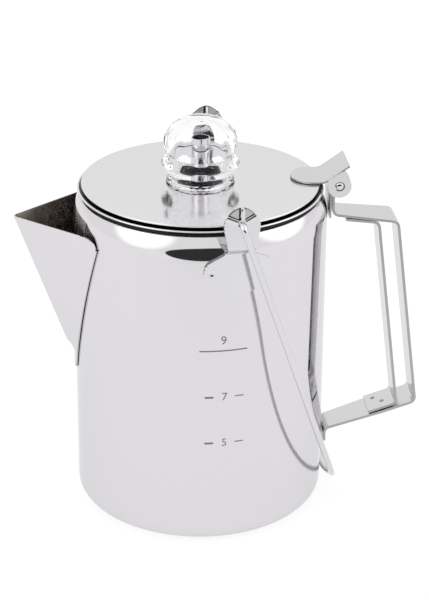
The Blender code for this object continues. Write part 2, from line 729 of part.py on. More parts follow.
twist = math.radians(EAR_TWIST)
bail_axis = axis("bail_axis", (EAR_X * math.cos(twist), EAR_X * math.sin(twist), EAR_Z))
bail_axis.rotation_euler.z = twist
wire("bail_wire", bail_path(), WIRE, STEEL).parent = bail_axis

stem_axis = axis("stem_axis", (0.0, 0.0, 0.0))
hang(stem_axis, *make_stem())
basket_axis = axis("basket_axis", (0.0, 0.0, BASKET_FLOOR))
hang(basket_axis, *make_basket())
spreader_axis = axis("spreader_axis", (0.0, 0.0, BASKET_RIM))
hang(spreader_axis, make_spreader())
hang(basket_axis, spreader_axis)
hang(stem_axis, basket_axis)
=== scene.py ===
"""Looks of the camping coffee percolator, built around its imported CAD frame.

Lengths are in millimetres until MM turns them into metres. Places come from the frame's boxes and
joints; the fine meshes repeat the CAD shapes at a higher resolution and add the pressed, stamped
and welded detail.
"""

import json
import math

import bmesh
import bpy
import numpy as np
from mathutils import Matrix, Vector


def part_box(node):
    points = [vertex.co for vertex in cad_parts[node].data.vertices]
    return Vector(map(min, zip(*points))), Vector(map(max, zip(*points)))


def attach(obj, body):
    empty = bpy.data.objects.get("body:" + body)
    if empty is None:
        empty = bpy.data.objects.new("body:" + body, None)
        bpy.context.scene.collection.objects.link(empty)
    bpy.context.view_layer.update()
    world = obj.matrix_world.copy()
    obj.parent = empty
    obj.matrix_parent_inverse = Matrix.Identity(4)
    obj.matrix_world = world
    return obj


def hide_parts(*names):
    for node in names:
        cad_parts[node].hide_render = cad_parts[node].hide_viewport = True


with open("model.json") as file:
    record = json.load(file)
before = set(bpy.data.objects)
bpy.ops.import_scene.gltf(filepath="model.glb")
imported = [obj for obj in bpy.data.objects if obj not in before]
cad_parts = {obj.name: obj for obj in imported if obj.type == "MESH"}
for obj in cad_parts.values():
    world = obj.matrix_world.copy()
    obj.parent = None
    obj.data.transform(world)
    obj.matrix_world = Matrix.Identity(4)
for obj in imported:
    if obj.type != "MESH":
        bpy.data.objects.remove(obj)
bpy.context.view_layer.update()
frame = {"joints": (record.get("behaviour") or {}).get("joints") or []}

MM = 0.001
GAP = 0.3


def low(node):
    """Lowest corner of a CAD node's box, in millimetres."""
    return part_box(node)[0] / MM


def high(node):
    """Highest corner of a CAD node's box, in millimetres."""
    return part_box(node)[1] / MM


def joint_place(name):
    """A hinge's point in millimetres."""
    for joint in frame["joints"]:
        if joint["name"] == name:
            return Vector(joint["pos_m"]) / MM
    raise ValueError(name)


# --- sizes read from the frame ---
POT_RADIUS = high("pot_body").x
RIM_HEIGHT = high("pot_body").z
LID_TOP = high("lid_plate").z
BEAD_RADIUS = high("lid_plate").x
KNOB_TOP = high("knob").z
KNOB_LOW = low("knob").z
SPOUT_TOP = high("spout").z
SPOUT_FOOT = low("spout").z
SPOUT_TIP = -low("spout").x
SKIRT_RADIUS = high("lid_skirt").x
SKIRT_BOTTOM = low("lid_skirt").z
GRIP_HALF = high("handle_outer_strap").y
INNER_HALF = high("handle_inner_strap").y
LEAF_HALF = high("lid_hinge_leaf").y
BRACKET_LOW = low("hinge_bracket").z
TUBE_RADIUS = high("pump_tube").x
TUBE_BOTTOM = low("pump_tube").z
TUBE_TOP = high("pump_tube").z
BELL_RADIUS = high("pump_base").x
STOP_LOW = low("basket_stop_collar")
STOP_HIGH = high("basket_stop_collar")
BASKET_LOW = low("basket_shell").z
BASKET_TOP = high("basket_shell").z
RIM_OUT = high("basket_shell").x
SPREADER_LOW = low("basket_lid").z
SPREADER_TOP = high("basket_lid").z
SPREADER_OUT = high("basket_lid").x
HINGE = joint_place("lid_hinge")
BAIL_AXIS = joint_place("bail_swing")
EAR_X = math.hypot(BAIL_AXIS.x, BAIL_AXIS.y)
EAR_TWIST = math.atan2(BAIL_AXIS.y, BAIL_AXIS.x)    # the ears' line is turned about the pot's axis

# --- sheet, wire and detail sizes ---
POT_WALL = 0.8
BASE_FILLET = 9.0
SHOULDER_START = 161.0
SHOULDER_ARC = 26.5
SHOULDER_SWEEP = 29.4
NECK_RADIUS = 62.2
SHEET = 0.8
STRAP = 1.5
LEAF = 1.0
EAR_SHEET = 1.2
EAR_PLANE = 75.7
WIRE = 1.6
WORKS_SHEET = 0.7
WELD_HEIGHT = 0.12


# --- mesh helpers ---
SOFT_EDGE = 0.22                # bevel on the cut edges of sheet metal
SHARP_BEVEL = 50.0              # only corners sharper than this are bevelled


def link(piece):
    """Put an object into the scene."""
    bpy.context.scene.collection.objects.link(piece)
    return piece


def mesh_from(name, made):
    """The mesh of a bmesh, which is freed."""
    mesh = bpy.data.meshes.new(name)
    made.to_mesh(mesh)
    made.free()
    return mesh


def arc(centre, radius, start, end, count):
    """Points on an arc, start and end in degrees, both ends included."""
    turns = [math.radians(start + (end - start) * i / count) for i in range(count + 1)]
    return [(centre[0] + radius * math.cos(a), centre[1] + radius * math.sin(a)) for a in turns]


def bent(points, radius, count=8):
    """A path whose inner corners are rounded with the given radius."""
    corners = [Vector(p) for p in points]
    path = [corners[0]]
    for before, corner, after in zip(corners, corners[1:], corners[2:]):
        back = (before - corner).normalized()
        ahead = (after - corner).normalized()
        half = back.angle(ahead) / 2.0
        reach = radius / math.tan(half)
        centre = corner + (back + ahead).normalized() * (radius / math.sin(half))
        start = corner + back * reach - centre
        end = corner + ahead * reach - centre
        sweep = start.angle(end)
        for i in range(count + 1):
            t = i / count
            mix = start * math.sin((1 - t) * sweep) + end * math.sin(t * sweep)
            path.append(centre + mix / math.sin(sweep))
    path.append(corners[-1])
    return path


def resampled(path, step):
    """The same path with points at most `step` apart; its own points are kept."""
    made = [Vector(path[0])]
    for a, b in zip(path, path[1:]):
        a, b = Vector(a), Vector(b)
        parts = max(1, math.ceil((b - a).length / step))
        made += [a.lerp(b, (i + 1) / parts) for i in range(parts)]
    return made


def new_piece(name, verts, faces, finishes, angle=40.0, indices=None):
    """A smooth-shaded object, sharp at edges over `angle`; indices pick each face's finish."""
    mesh = bpy.data.meshes.new(name)
    mesh.from_pydata([tuple(v) for v in verts], [], faces)
    for finish in finishes:
        mesh.materials.append(finish)
    if indices:
        mesh.polygons.foreach_set("material_index", indices)
    mesh.shade_smooth()
    mesh.set_sharp_from_angle(angle=math.radians(angle))
    return link(bpy.data.objects.new(name, mesh))


def turned(name, profile, finishes, steps=96, closed=False, shape=None, paint=None, angle=40.0):
    """Turn an (r, z) profile about the Z axis. It runs down the outer side.

    shape(turn, r, z) may change a point, and paint(index) picks the material of a band.
    """
    turns = [math.tau * j / steps for j in range(steps)]
    verts = []
    rings = []
    for r, z in profile:
        if r <= 1e-6:
            rings.append([len(verts)])
            verts.append((0.0, 0.0, z * MM))
            continue
        rings.append(list(range(len(verts), len(verts) + steps)))
        for a in turns:
            rr, zz = shape(a, r, z) if shape else (r, z)
            verts.append((rr * math.cos(a) * MM, rr * math.sin(a) * MM, zz * MM))
    pairs = list(zip(rings, rings[1:]))
    if closed:
        pairs.append((rings[-1], rings[0]))
    faces = []
    indices = []
    for band, (top, bottom) in enumerate(pairs):
        for j in range(steps):
            k = (j + 1) % steps
            if len(top) == 1:
                faces.append((top[0], bottom[j], bottom[k]))
            elif len(bottom) == 1:
                faces.append((top[j], bottom[0], top[k]))
            else:
                faces.append((top[j], bottom[j], bottom[k], top[k]))
            indices.append(paint(band) if paint else 0)
    return new_piece(name, verts, faces, finishes, angle, indices)


def ease(t):
    """1 at t = 0, 0 from t = 1 on, with a smooth fall between."""
    t = np.clip(np.abs(t), 0.0, 1.0)
    return 1.0 - t * t * (3.0 - 2.0 * t)


def grid_faces(rows, columns, wrap=False):
    """Quads over rows of points; wrap joins the end of each row to its start."""
    faces = []
    for i in range(rows - 1):
        for j in range(columns if wrap else columns - 1):
            k = (j + 1) % columns
            faces.append((i * columns + j, i * columns + k, (i + 1) * columns + k, (i + 1) * columns + j))
    return faces


def dent(points, centre, radius):
    """Weight of a round dimple."""
    return ease(np.linalg.norm(points - np.array(centre), axis=2) / radius)


def rib(points, start, end, width):
    """Weight of a pressed rib between two points."""
    a, b = np.array(start), np.array(end)
    along = b - a
    t = np.clip(((points - a) @ along) / (along @ along), 0.0, 1.0)
    nearest = a + t[..., None] * along
    return ease(np.linalg.norm(points - nearest, axis=2) / width)


def sheet(name, rows, thickness, finishes, offset=0.0, bumps=(), edge=SOFT_EDGE, inner=0, rim=0):
    """Sheet metal through a grid of points. bumps are (weight function, height) pairs.

    inner and rim are the finishes of the back and of the cut edge.
    """
    points = np.array([[tuple(p) for p in row] for row in rows])
    along = np.gradient(points, axis=0)
    across = np.gradient(points, axis=1)
    normal = np.cross(across, along)
    normal /= np.linalg.norm(normal, axis=2, keepdims=True)
    for weight, height in bumps:
        points = points + normal * (weight(points) * height)[..., None]
    faces = grid_faces(*points.shape[:2])
    piece = new_piece(name, points.reshape(-1, 3) * MM, faces, finishes)
    solid = piece.modifiers.new("sheet", "SOLIDIFY")
    solid.thickness = thickness * MM
    solid.offset = offset
    solid.use_even_offset = True
    solid.material_offset = inner
    solid.material_offset_rim = rim
    bevel = piece.modifiers.new("edges", "BEVEL")
    bevel.width = edge * MM
    bevel.segments = 2
    bevel.limit_method = "ANGLE"
    bevel.angle_limit = math.radians(SHARP_BEVEL)
    bevel.harden_normals = True
    return piece


def strap(name, path, half_width, thickness, finishes, bumps=(), columns=28, step=0.9):
    """A strap in the XZ plane; half_width is a number or a function of x."""
    rows = []
    for p in resampled(path, step):
        half = half_width(p[0]) if callable(half_width) else half_width
        ys = np.linspace(-half, half, columns + 1)
        rows.append([(p[0], y, p[1]) for y in ys])
    return sheet(name, rows, thickness, finishes, bumps=bumps, rim=len(finishes) - 1)


def round_wire(name, path, radius, finish, sides=20):
    """A round wire with domed ends along a path of points."""
    points = [Vector(p) for p in path]
    tangents = []
    for i in range(len(points)):
        ahead = points[min(i + 1, len(points) - 1)] - points[max(i - 1, 0)]
        tangents.append(ahead.normalized())
    side = tangents[0].orthogonal().normalized()
    stations = []
    for point, tangent in zip(points, tangents):
        side = (side - tangent * side.dot(tangent)).normalized()
        stations.append((point, tangent, side, radius))
    for end, sign in ((0, -1.0), (-1, 1.0)):
        point, tangent, across, _ = stations[end]
        caps = []
        for turn in (30.0, 55.0, 75.0):
            a = math.radians(turn)
            caps.append((point + tangent * (sign * radius * 0.7 * math.sin(a)), tangent, across,
                         radius * math.cos(a)))
        stations = list(reversed(caps)) + stations if end == 0 else stations + caps
    verts = []
    for point, tangent, across, r in stations:
        other = tangent.cross(across)
        for j in range(sides):
            a = math.tau * j / sides
            verts.append((point + (across * math.cos(a) + other * math.sin(a)) * r) * MM)
    faces = grid_faces(len(stations), sides, wrap=True)
    last = (len(stations) - 1) * sides
    faces.append(tuple(reversed(range(sides))))
    faces.append(tuple(range(last, last + sides)))
    return new_piece(name, verts, faces, [finish], 50.0)


def outline_plate(outline, thickness, y):
    """A flat plate from an (x, z) outline, as a mesh object that others are joined with."""
    half = thickness / 2.0
    count = len(outline)
    verts = [Vector((x, y - half, z)) * MM for x, z in outline]
    verts += [Vector((x, y + half, z)) * MM for x, z in outline]
    faces = [tuple(reversed(range(count))), tuple(range(count, 2 * count))]
    for i in range(count):
        k = (i + 1) % count
        faces.append((i, k, count + k, count + i))
    mesh = bpy.data.meshes.new("plate")
    mesh.from_pydata(verts, [], faces)
    made = bmesh.new()
    made.from_mesh(mesh)
    bmesh.ops.recalc_face_normals(made, faces=made.faces)
    made.to_mesh(mesh)
    made.free()
    return bpy.data.objects.new("plate", mesh)


def rods(places, radius, length, sides=20):
    """Loose rods used as a cutter: each place is a centre and a direction."""
    made = bmesh.new()
    for centre, direction in places:
        turn = Vector(direction).to_track_quat("Z", "Y").to_matrix().to_4x4()
        where = Matrix.Translation(Vector(centre) * MM) @ turn
        bmesh.ops.create_cone(made, cap_ends=True, segments=sides, radius1=radius * MM,
                              radius2=radius * MM, depth=length * MM, matrix=where)
    return bpy.data.objects.new("rods", mesh_from("rods", made))


def blocks(places, size):
    """Loose blocks of one size, each at a centre, to cut with or to join on."""
    made = bmesh.new()
    scale = Matrix.Diagonal((*[side * MM for side in size], 1.0))
    for centre in places:
        where = Matrix.Translation(Vector(centre) * MM)
        bmesh.ops.create_cube(made, size=1.0, matrix=where @ scale)
    return bpy.data.objects.new("blocks", mesh_from("blocks", made))


def weld_spots(name, places, radius):
    """Low discs, each at a centre and facing a direction."""
    spots = rods(places, radius, WELD_HEIGHT, 16)
    spots.name = name
    spots.data.materials.append(WELD)
    return link(spots)


def settle(piece):
    """Replace a piece's mesh by its evaluated one, so that no modifier is left."""
    evaluated = piece.evaluated_get(bpy.context.evaluated_depsgraph_get())
    mesh = bpy.data.meshes.new_from_object(evaluated)
    piece.modifiers.clear()
    piece.data = mesh


def combine(piece, other, operation="DIFFERENCE", angle=40.0):
    """Cut or join another mesh at once, and drop it."""
    link(other)
    change = piece.modifiers.new("join", "BOOLEAN")
    change.operation = operation
    change.solver = "EXACT"
    change.object = other
    bpy.context.view_layer.update()
    settle(piece)
    bpy.data.objects.remove(other, do_unlink=True)
    piece.data.set_sharp_from_angle(angle=math.radians(angle))


def ring(name, profile, finish, steps, body, slot):
    """A closed turned ring of one finish, in place of the CAD node of its name."""
    fit(turned(name, profile, [finish], steps, closed=True), body, slot, name)


def fit(piece, body, slot, *nodes):
    """Hand a finished piece to its body, in place of CAD nodes."""
    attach(piece, body)
    if nodes:
        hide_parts(*nodes)


# --- materials ---
EDGE_TINT = 0.88                # keeps grazing reflections from turning white
TONE_SWING = 0.015              # share by which the grain lightens and darkens the metal
METAL_BUMP = 0.0002
CLEAR_IOR = 1.22
CLEAR_BUMP = 0.0004


def material(name):
    """A new material with its nodes, links and shader."""
    made = bpy.data.materials.new(name)
    made.use_nodes = True
    nodes, links = made.node_tree.nodes, made.node_tree.links
    return made, nodes, links, nodes["Principled BSDF"]


def roughen(nodes, links, noise, least, most, strength, distance):
    """Let a noise move the shader's roughness between two values, and its bump."""
    shader = nodes["Principled BSDF"]
    rough = nodes.new("ShaderNodeMapRange")
    rough.inputs["To Min"].default_value = least
    rough.inputs["To Max"].default_value = most
    links.new(noise.outputs["Fac"], rough.inputs["Value"])
    links.new(rough.outputs["Result"], shader.inputs["Roughness"])
    height = nodes.new("ShaderNodeBump")
    height.inputs["Strength"].default_value = strength
    height.inputs["Distance"].default_value = distance
    links.new(noise.outputs["Fac"], height.inputs["Height"])
    links.new(height.outputs["Normal"], shader.inputs["Normal"])


def metal(name, colour, roughness, grain, spread=0.03, stretch=(1.0, 1.0, 1.0), bump=0.02):
    """Stainless steel: fine stretched grain moves roughness, tone and bump a little."""
    made, nodes, links, shader = material(name)
    shader.inputs["Metallic"].default_value = 1.0
    shader.inputs["Specular Tint"].default_value = (EDGE_TINT, EDGE_TINT, EDGE_TINT, 1.0)
    place = nodes.new("ShaderNodeTexCoord")
    scale = nodes.new("ShaderNodeMapping")
    scale.inputs["Scale"].default_value = stretch
    noise = nodes.new("ShaderNodeTexNoise")
    noise.inputs["Scale"].default_value = grain
    noise.inputs["Detail"].default_value = 4.0
    links.new(place.outputs["Object"], scale.inputs["Vector"])
    links.new(scale.outputs["Vector"], noise.inputs["Vector"])
    tone = nodes.new("ShaderNodeMix")
    tone.data_type = "RGBA"
    tone.inputs[6].default_value = (*[c * (1.0 - TONE_SWING) for c in colour], 1.0)
    tone.inputs[7].default_value = (*[c * (1.0 + TONE_SWING) for c in colour], 1.0)
    links.new(noise.outputs["Fac"], tone.inputs[0])
    links.new(tone.outputs[2], shader.inputs["Base Color"])
    roughen(nodes, links, noise, roughness - spread, roughness + spread, bump, METAL_BUMP)
    return made


def clear(name, tint, roughness, grain):
    """Clear moulded plastic with faint flow marks."""
    made, nodes, links, shader = material(name)
    shader.inputs["Base Color"].default_value = (*tint, 1.0)
    shader.inputs["Transmission Weight"].default_value = 1.0
    shader.inputs["IOR"].default_value = CLEAR_IOR
    place = nodes.new("ShaderNodeTexCoord")
    noise = nodes.new("ShaderNodeTexNoise")
    noise.inputs["Scale"].default_value = grain
    links.new(place.outputs["Object"], noise.inputs["Vector"])
    roughen(nodes, links, noise, roughness, roughness + 0.02, 0.04, CLEAR_BUMP)
    return made


MIRROR = metal("mirror_steel", (0.695, 0.68, 0.70), 0.05, 900.0, 0.015, (1.0, 1.0, 0.2), 0.004)
SATIN = metal("satin_steel", (0.67, 0.66, 0.67), 0.17, 700.0, 0.04, (0.15, 1.0, 1.0), 0.03)
PRESSED = metal("pressed_steel", (0.70, 0.69, 0.705), 0.07, 800.0, 0.02)
CUT_EDGE = metal("cut_edge", (0.42, 0.42, 0.425), 0.38, 900.0, 0.06)
LID_STEEL = metal("lid_steel", (0.765, 0.75, 0.765), 0.14, 800.0, 0.03, (1.0, 0.2, 1.0), 0.02)
# near-black steel, painted as shade in the pot's neck, the lid's groove and a strip beside each ear's rib
PAINTED_SHADE = metal("painted_crevice_shade", (0.02, 0.02, 0.02), 0.30, 500.0, 0.08)
RAW = metal("raw_inner_steel", (0.40, 0.365, 0.34), 0.26, 300.0, 0.08, (1.0, 1.0, 0.15), 0.08)
STAMPED = metal("stamped_mark", (0.20, 0.195, 0.20), 0.35, 600.0, 0.06)
# darker steel, painted as shade on the ears' upper facets
SHADED_FACET = metal("shaded_facet_paint", (0.50, 0.49, 0.50), 0.12, 800.0, 0.03)
WELD = metal("weld_mark", (0.30, 0.295, 0.30), 0.30, 900.0, 0.08)
CLEAR = clear("clear_plastic", (0.96, 0.965, 0.97), 0.03, 60.0)


# --- camera, floor, card and world ---
CAMERA_AZIMUTH = -5.9
CAMERA_ELEVATION = 24.67
CAMERA_DISTANCE = 1.0822
CAMERA_ROLL = 0.428
CAMERA_SIDE = 0.00789           # the aim point lies this far to the right of the pot's axis
CAMERA_HEIGHT = 0.11113
CAMERA_LENS = 120.83
TENT_LIGHT = 1.0
SENSOR_WIDTH = 36.0
CLIP_END = 50.0
FLOOR_DROP = 0.0002             # the floor lies this far under the pot, in metres
CARD_TURN = 6.0
CARD_DISTANCE = 0.62
CARD_HEIGHT = 0.155
CARD_SIZE = (0.42, 0.145)
TENT_WALLS = ((-55.0, 27.0, 33.0, 0.9), (86.0, 26.0, 33.0, 0.9))    # turn, lift, spread and gain


def camera_frame():
    """Aim point, and the direction from it to the camera."""
    turn = math.radians(-CAMERA_AZIMUTH)
    lift = math.radians(CAMERA_ELEVATION)
    right = Vector((math.cos(turn), -math.sin(turn), 0.0))
    ahead = Vector((math.sin(turn), math.cos(turn), 0.0))
    aim = right * CAMERA_SIDE + Vector((0.0, 0.0, CAMERA_HEIGHT))
    back = -ahead * math.cos(lift) + Vector((0.0, 0.0, math.sin(lift)))
    return aim, back


def make_camera():
    aim, back = camera_frame()
    data = bpy.data.cameras.new("camera")
    data.lens = CAMERA_LENS
    data.sensor_width = SENSOR_WIDTH
    data.clip_end = CLIP_END
    made = link(bpy.data.objects.new("camera", data))
    look = (-back).to_track_quat("-Z", "Y").to_matrix()
    roll = Matrix.Rotation(math.radians(CAMERA_ROLL), 3, "Z")
    made.rotation_euler = (look @ roll).to_euler()
    made.location = aim + back * CAMERA_DISTANCE
    bpy.context.scene.camera = made


def glow(name, strength, diffuse):
    """Matte grey with its own even light, for the floor and the card."""
    made, _, _, shader = material(name)
    shader.inputs["Base Color"].default_value = (diffuse, diffuse, diffuse, 1.0)
    shader.inputs["Roughness"].default_value = 1.0
    shader.inputs["Specular IOR Level"].default_value = 0.0
    shader.inputs["Emission Color"].default_value = (1.0, 1.0, 1.0, 1.0)
    shader.inputs["Emission Strength"].default_value = strength
    return made


def make_floor():
    made = bmesh.new()
    bmesh.ops.create_grid(made, x_segments=2, y_segments=2, size=12.0)
    mesh = mesh_from("floor", made)
    mesh.materials.append(glow("floor_white", 0.82, 0.22))
    floor = link(bpy.data.objects.new("floor", mesh))
    floor.location.z = -FLOOR_DROP


def toward(turn, lift):
    """Direction from the object; turn 0 is the camera's side, positive to the right."""
    _, back = camera_frame()
    level = Vector((back.x, back.y, 0.0)).normalized()
    out = Matrix.Rotation(math.radians(turn), 3, "Z") @ level
    rise = math.radians(lift)
    return out * math.cos(rise) + Vector((0.0, 0.0, math.sin(rise)))


def make_card():
    """A dark oval in front of the camera's foot, which the shoulder mirrors as a leaf shape."""
    made = bmesh.new()
    bmesh.ops.create_circle(made, cap_ends=True, segments=48, radius=1.0)
    mesh = mesh_from("dark_card", made)
    mesh.materials.append(glow("card_black", 0.0, 0.04))
    card = link(bpy.data.objects.new("dark_card", mesh))
    out = toward(CARD_TURN, 0.0)
    card.rotation_euler = (-out).to_track_quat("Z", "Y").to_euler()
    card.location = out * CARD_DISTANCE + Vector((0.0, 0.0, CARD_HEIGHT))
    card.scale = (*CARD_SIZE, 1.0)


def make_world():
    """White tent with two brighter walls, which the shoulder mirrors."""
    world = bpy.data.worlds.new("studio")
    world.use_nodes = True
    nodes, links = world.node_tree.nodes, world.node_tree.links
    sky = nodes["Background"]
    sky.inputs["Color"].default_value = (1.0, 1.0, 1.0, 1.0)
    place = nodes.new("ShaderNodeTexCoord")
    total = None
    for turn, lift, spread, gain in TENT_WALLS:
        facing = nodes.new("ShaderNodeVectorMath")
        facing.operation = "DOT_PRODUCT"
        facing.inputs[1].default_value = toward(turn, lift)
        links.new(place.outputs["Generated"], facing.inputs[0])
        fade = nodes.new("ShaderNodeMapRange")
        fade.interpolation_type = "SMOOTHSTEP"
        fade.inputs["From Min"].default_value = math.cos(math.radians(spread))
        fade.inputs["From Max"].default_value = math.cos(math.radians(spread / 3.0))
        fade.inputs["To Min"].default_value = 0.0
        fade.inputs["To Max"].default_value = gain
        links.new(facing.outputs["Value"], fade.inputs["Value"])
        add = nodes.new("ShaderNodeMath")
        add.operation = "ADD"
        add.inputs[1].default_value = TENT_LIGHT
        links.new(fade.outputs["Result"], add.inputs[0])
        if total:
            links.new(total.outputs["Value"], add.inputs[1])
        total = add
    links.new(total.outputs["Value"], sky.inputs["Strength"])
    bpy.context.scene.world = world
    bpy.context.scene.view_settings.view_transform = "Standard"
    bpy.context.scene.view_settings.look = "None"


# --- pot ---
SPOUT_KNEE = 91.0               # below this the leading edge runs in to the wall
SPOUT_TOE = 84.0                # and here it meets the wall
SPOUT_SLOPE = 0.384
SPOUT_FOOT_ROUND = 80.0
SPOUT_STRAIGHT = 92.0           # above this the leading edge is straight
SPOUT_CORNER = 7.0              # rounding where the top edge runs into the seam
CORNER_START = 0.85             # share of the way from the leading edge at which it starts
SEAM_TOP = 33.6                 # seam's angle from -X, near the top
SEAM_SPREAD = 0.3347            # degrees that the seam gains per millimetre of height
SEAM_ZERO = 56.6                # height at which the seams' straight stretches would meet
SEAM_LEAST = 0.03               # keeps the rounded foot from closing to a point
NOSE_SPREAD = 0.1               # share of each side that the rounded nose takes
NOSE_FILL = 0.55                # how far the nose bulges towards the sides' meeting point
FOOT_RING = 50.0                # the underside's flat starts to rise inside this radius
BASE_RECESS = 0.25
STRAINER_ROWS = 10
STRAINER_LOW = 98.0
STRAINER_PITCH = 6.2            # height between rows of holes
STRAINER_STEP = 5.2             # degrees between the holes in a row
STRAINER_MARGIN = 5.0           # degrees kept clear beside the seams
STRAINER_HOLE = 1.6


def spout_skin():
    """Radius of the spout's outer face where it lies against the wall."""
    return POT_RADIUS + GAP + SHEET


def spout_reach():
    """Distance at which the two sides would meet at the top, from the rounded tip's distance."""
    cut = NOSE_SPREAD * (1.0 - NOSE_FILL)
    seam = spout_skin() * math.cos(math.radians(SEAM_TOP))
    return (SPOUT_TIP - cut * seam) / (1.0 - cut)


def spout_edge(z):
    """Distance of the spout's leading edge from the pot's axis at height z."""
    skin = spout_skin() + 0.02
    if z <= SPOUT_TOE:
        return skin
    if z < SPOUT_KNEE:
        knee = spout_reach() - SPOUT_SLOPE * (SPOUT_TOP - SPOUT_KNEE)
        return skin + (knee - skin) * ((z - SPOUT_TOE) / (SPOUT_KNEE - SPOUT_TOE)) ** 1.5
    return spout_reach() - SPOUT_SLOPE * (SPOUT_TOP - z)


def seam_angle(z):
    """Half the spout's opening on the wall, in degrees from -X, at height z."""
    wanted = min(SEAM_TOP, SEAM_SPREAD * (z - SEAM_ZERO))
    down = max(0.0, (SPOUT_FOOT_ROUND - z) / (SPOUT_FOOT_ROUND - SPOUT_FOOT))
    return wanted * math.sqrt(max(SEAM_LEAST, 1.0 - down * down))


def make_pot():
    """Turned wall with a rounded shoulder and foot, and the strainer's holes cut through it."""
    centre = (POT_RADIUS - SHOULDER_ARC, SHOULDER_START)
    base = (POT_RADIUS - BASE_FILLET, BASE_FILLET)
    neck = NECK_RADIUS - POT_WALL
    levels = [15.0 + 10.0 * i for i in range(15)]
    inside = arc(base, BASE_FILLET - POT_WALL, -90.0, 0.0, 12)
    inside += [(POT_RADIUS - POT_WALL, z) for z in levels]
    inside += arc(centre, SHOULDER_ARC - POT_WALL, 0.0, SHOULDER_SWEEP, 10)
    inside += [(neck + 0.5, RIM_HEIGHT - 2.2), (neck, RIM_HEIGHT - 1.6), (neck, RIM_HEIGHT - 0.2)]
    outside = [(neck + 0.2, RIM_HEIGHT), (NECK_RADIUS - 0.2, RIM_HEIGHT), (NECK_RADIUS, RIM_HEIGHT - 0.2),
               (NECK_RADIUS, RIM_HEIGHT - 1.1), (NECK_RADIUS + 0.25, RIM_HEIGHT - 1.7)]
    groove_end = len(inside) + len(outside)
    top = arc(centre, SHOULDER_ARC, SHOULDER_SWEEP, 0.0, 24)
    first = top[0]
    outside += [(first[0] - 0.55, first[1] + 0.35), (first[0] - 0.2, first[1] + 0.2)]
    outside += top
    outside += [(POT_RADIUS, z) for z in reversed(levels)]
    outside += arc(base, BASE_FILLET, 0.0, -90.0, 16)
    outside += [(FOOT_RING, 0.0), (FOOT_RING - 2.0, BASE_RECESS)]
    profile = [(0.0, POT_WALL), (45.0, POT_WALL)] + inside + outside + [(0.0, BASE_RECESS)]
    # the bands of the neck under the lid's bead are painted near-black as shade
    groove = range(groove_end - 1, groove_end + 2)
    inner = range(0, len(inside) + 2)

    def paint(band):
        if band in groove:
            return 1
        return 2 if band in inner else 0

    pot = turned("pot_body", profile, [MIRROR, PAINTED_SHADE, RAW], 256, paint=paint, angle=50.0)
    combine(pot, rods(strainer_places(), STRAINER_HOLE, 6.0, 12), angle=50.0)
    fit(pot, "pot", "polished_steel", "pot_body")


def strainer_places():
    """Staggered rows of holes through the wall behind the spout."""
    places = []
    reach = int(SEAM_TOP / STRAINER_STEP) + 1
    for row in range(STRAINER_ROWS):
        z = STRAINER_LOW + STRAINER_PITCH * row
        limit = seam_angle(z) - STRAINER_MARGIN
        shift = STRAINER_STEP / 2.0 if row % 2 else 0.0
        for i in range(-reach, reach + 1):
            angle = STRAINER_STEP * i + shift
            if abs(angle) <= limit:
                a = math.radians(180.0 + angle)
                out = (math.cos(a), math.sin(a), 0.0)
                places.append(((POT_RADIUS * out[0], POT_RADIUS * out[1], z), out))
    return places


def spout_point(z, u):
    """Outer face at height z; u is -1 or 1 at the seams and 0 at the leading edge."""
    skin = spout_skin()
    edge = spout_edge(z)
    a = math.radians(seam_angle(z))
    touching = math.acos(skin / edge)
    v = abs(u)
    if a > touching:
        turn = v * a
        reach = skin / math.cos(max(0.0, touching - turn))
        return -reach * math.cos(turn), math.copysign(reach * math.sin(turn), u)
    seam = Vector((-skin * math.cos(a), skin * math.sin(a)))
    nose = Vector((-edge, 0.0))
    if v >= NOSE_SPREAD:
        place = nose.lerp(seam, v)
    else:
        start = nose.lerp(seam, NOSE_SPREAD)
        bulge = start.x - (start.x - nose.x) * NOSE_FILL * (1.0 - (v / NOSE_SPREAD) ** 2)
        place = Vector((bulge, start.y * v / NOSE_SPREAD))
    return place.x, math.copysign(place.y, u)


def make_spout():
    """Folded sheet: a V with a rounded nose at each level, whose ends lie on the wall."""
    half = [NOSE_SPREAD * i / 8 for i in range(8)]
    half += [NOSE_SPREAD + (CORNER_START - NOSE_SPREAD) * i / 14 for i in range(14)]
    half += [CORNER_START + (1.0 - CORNER_START) * math.sin(math.pi / 2 * i / 12) for i in range(13)]
    across = list(reversed(half)) + [-u for u in half[1:]]
    levels = [SPOUT_FOOT + (SPOUT_FOOT_ROUND - SPOUT_FOOT) * (i / 8) ** 2 for i in range(8)]
    levels += [SPOUT_FOOT_ROUND + (SPOUT_STRAIGHT - SPOUT_FOOT_ROUND) * i / 16 for i in range(16)]
    levels += [SPOUT_STRAIGHT + (SPOUT_TOP - SPOUT_STRAIGHT) * i / 26 for i in range(27)]
    rows = []
    for level in levels:
        row = []
        for u in across:
            drop = 0.0
            if abs(u) > CORNER_START:
                t = min(1.0, (abs(u) - CORNER_START) / (1.0 - CORNER_START))
                drop = SPOUT_CORNER * (1.0 - math.sqrt(1.0 - t * t))
            z = level - drop * (level - SPOUT_FOOT) / (SPOUT_TOP - SPOUT_FOOT)
            row.append((*spout_point(z, u), z))
        rows.append(row)
    spout = sheet("spout", rows, SHEET, [MIRROR, RAW], offset=-1.0, edge=0.15, inner=1)
    fit(spout, "pot", "polished_steel", "spout")


# --- level marks ---
NINE_PLACE = (6.0, 118.6)       # x round the wall and z
NINE_SIZE = 6.6
NINE_LINE = (6.0, 113.0)
NINE_LINE_SIZE = (25.0, 0.7)    # length and width
LEVELS = (("7", 86.6), ("5", 60.0))
LEVEL_X = 6.6
LEVEL_SIZE = 6.2
DASHES = ((-1.4, 1.05), (14.4, 0.6))    # x and width on either side of a numeral
DASH_LENGTH = 4.6
MARK_DEPTH = 0.1                # the marks' whole thickness, half of it under the wall's face
DASH_CUT = 1.5                  # a dash is cut about this often, so that it can follow the wall


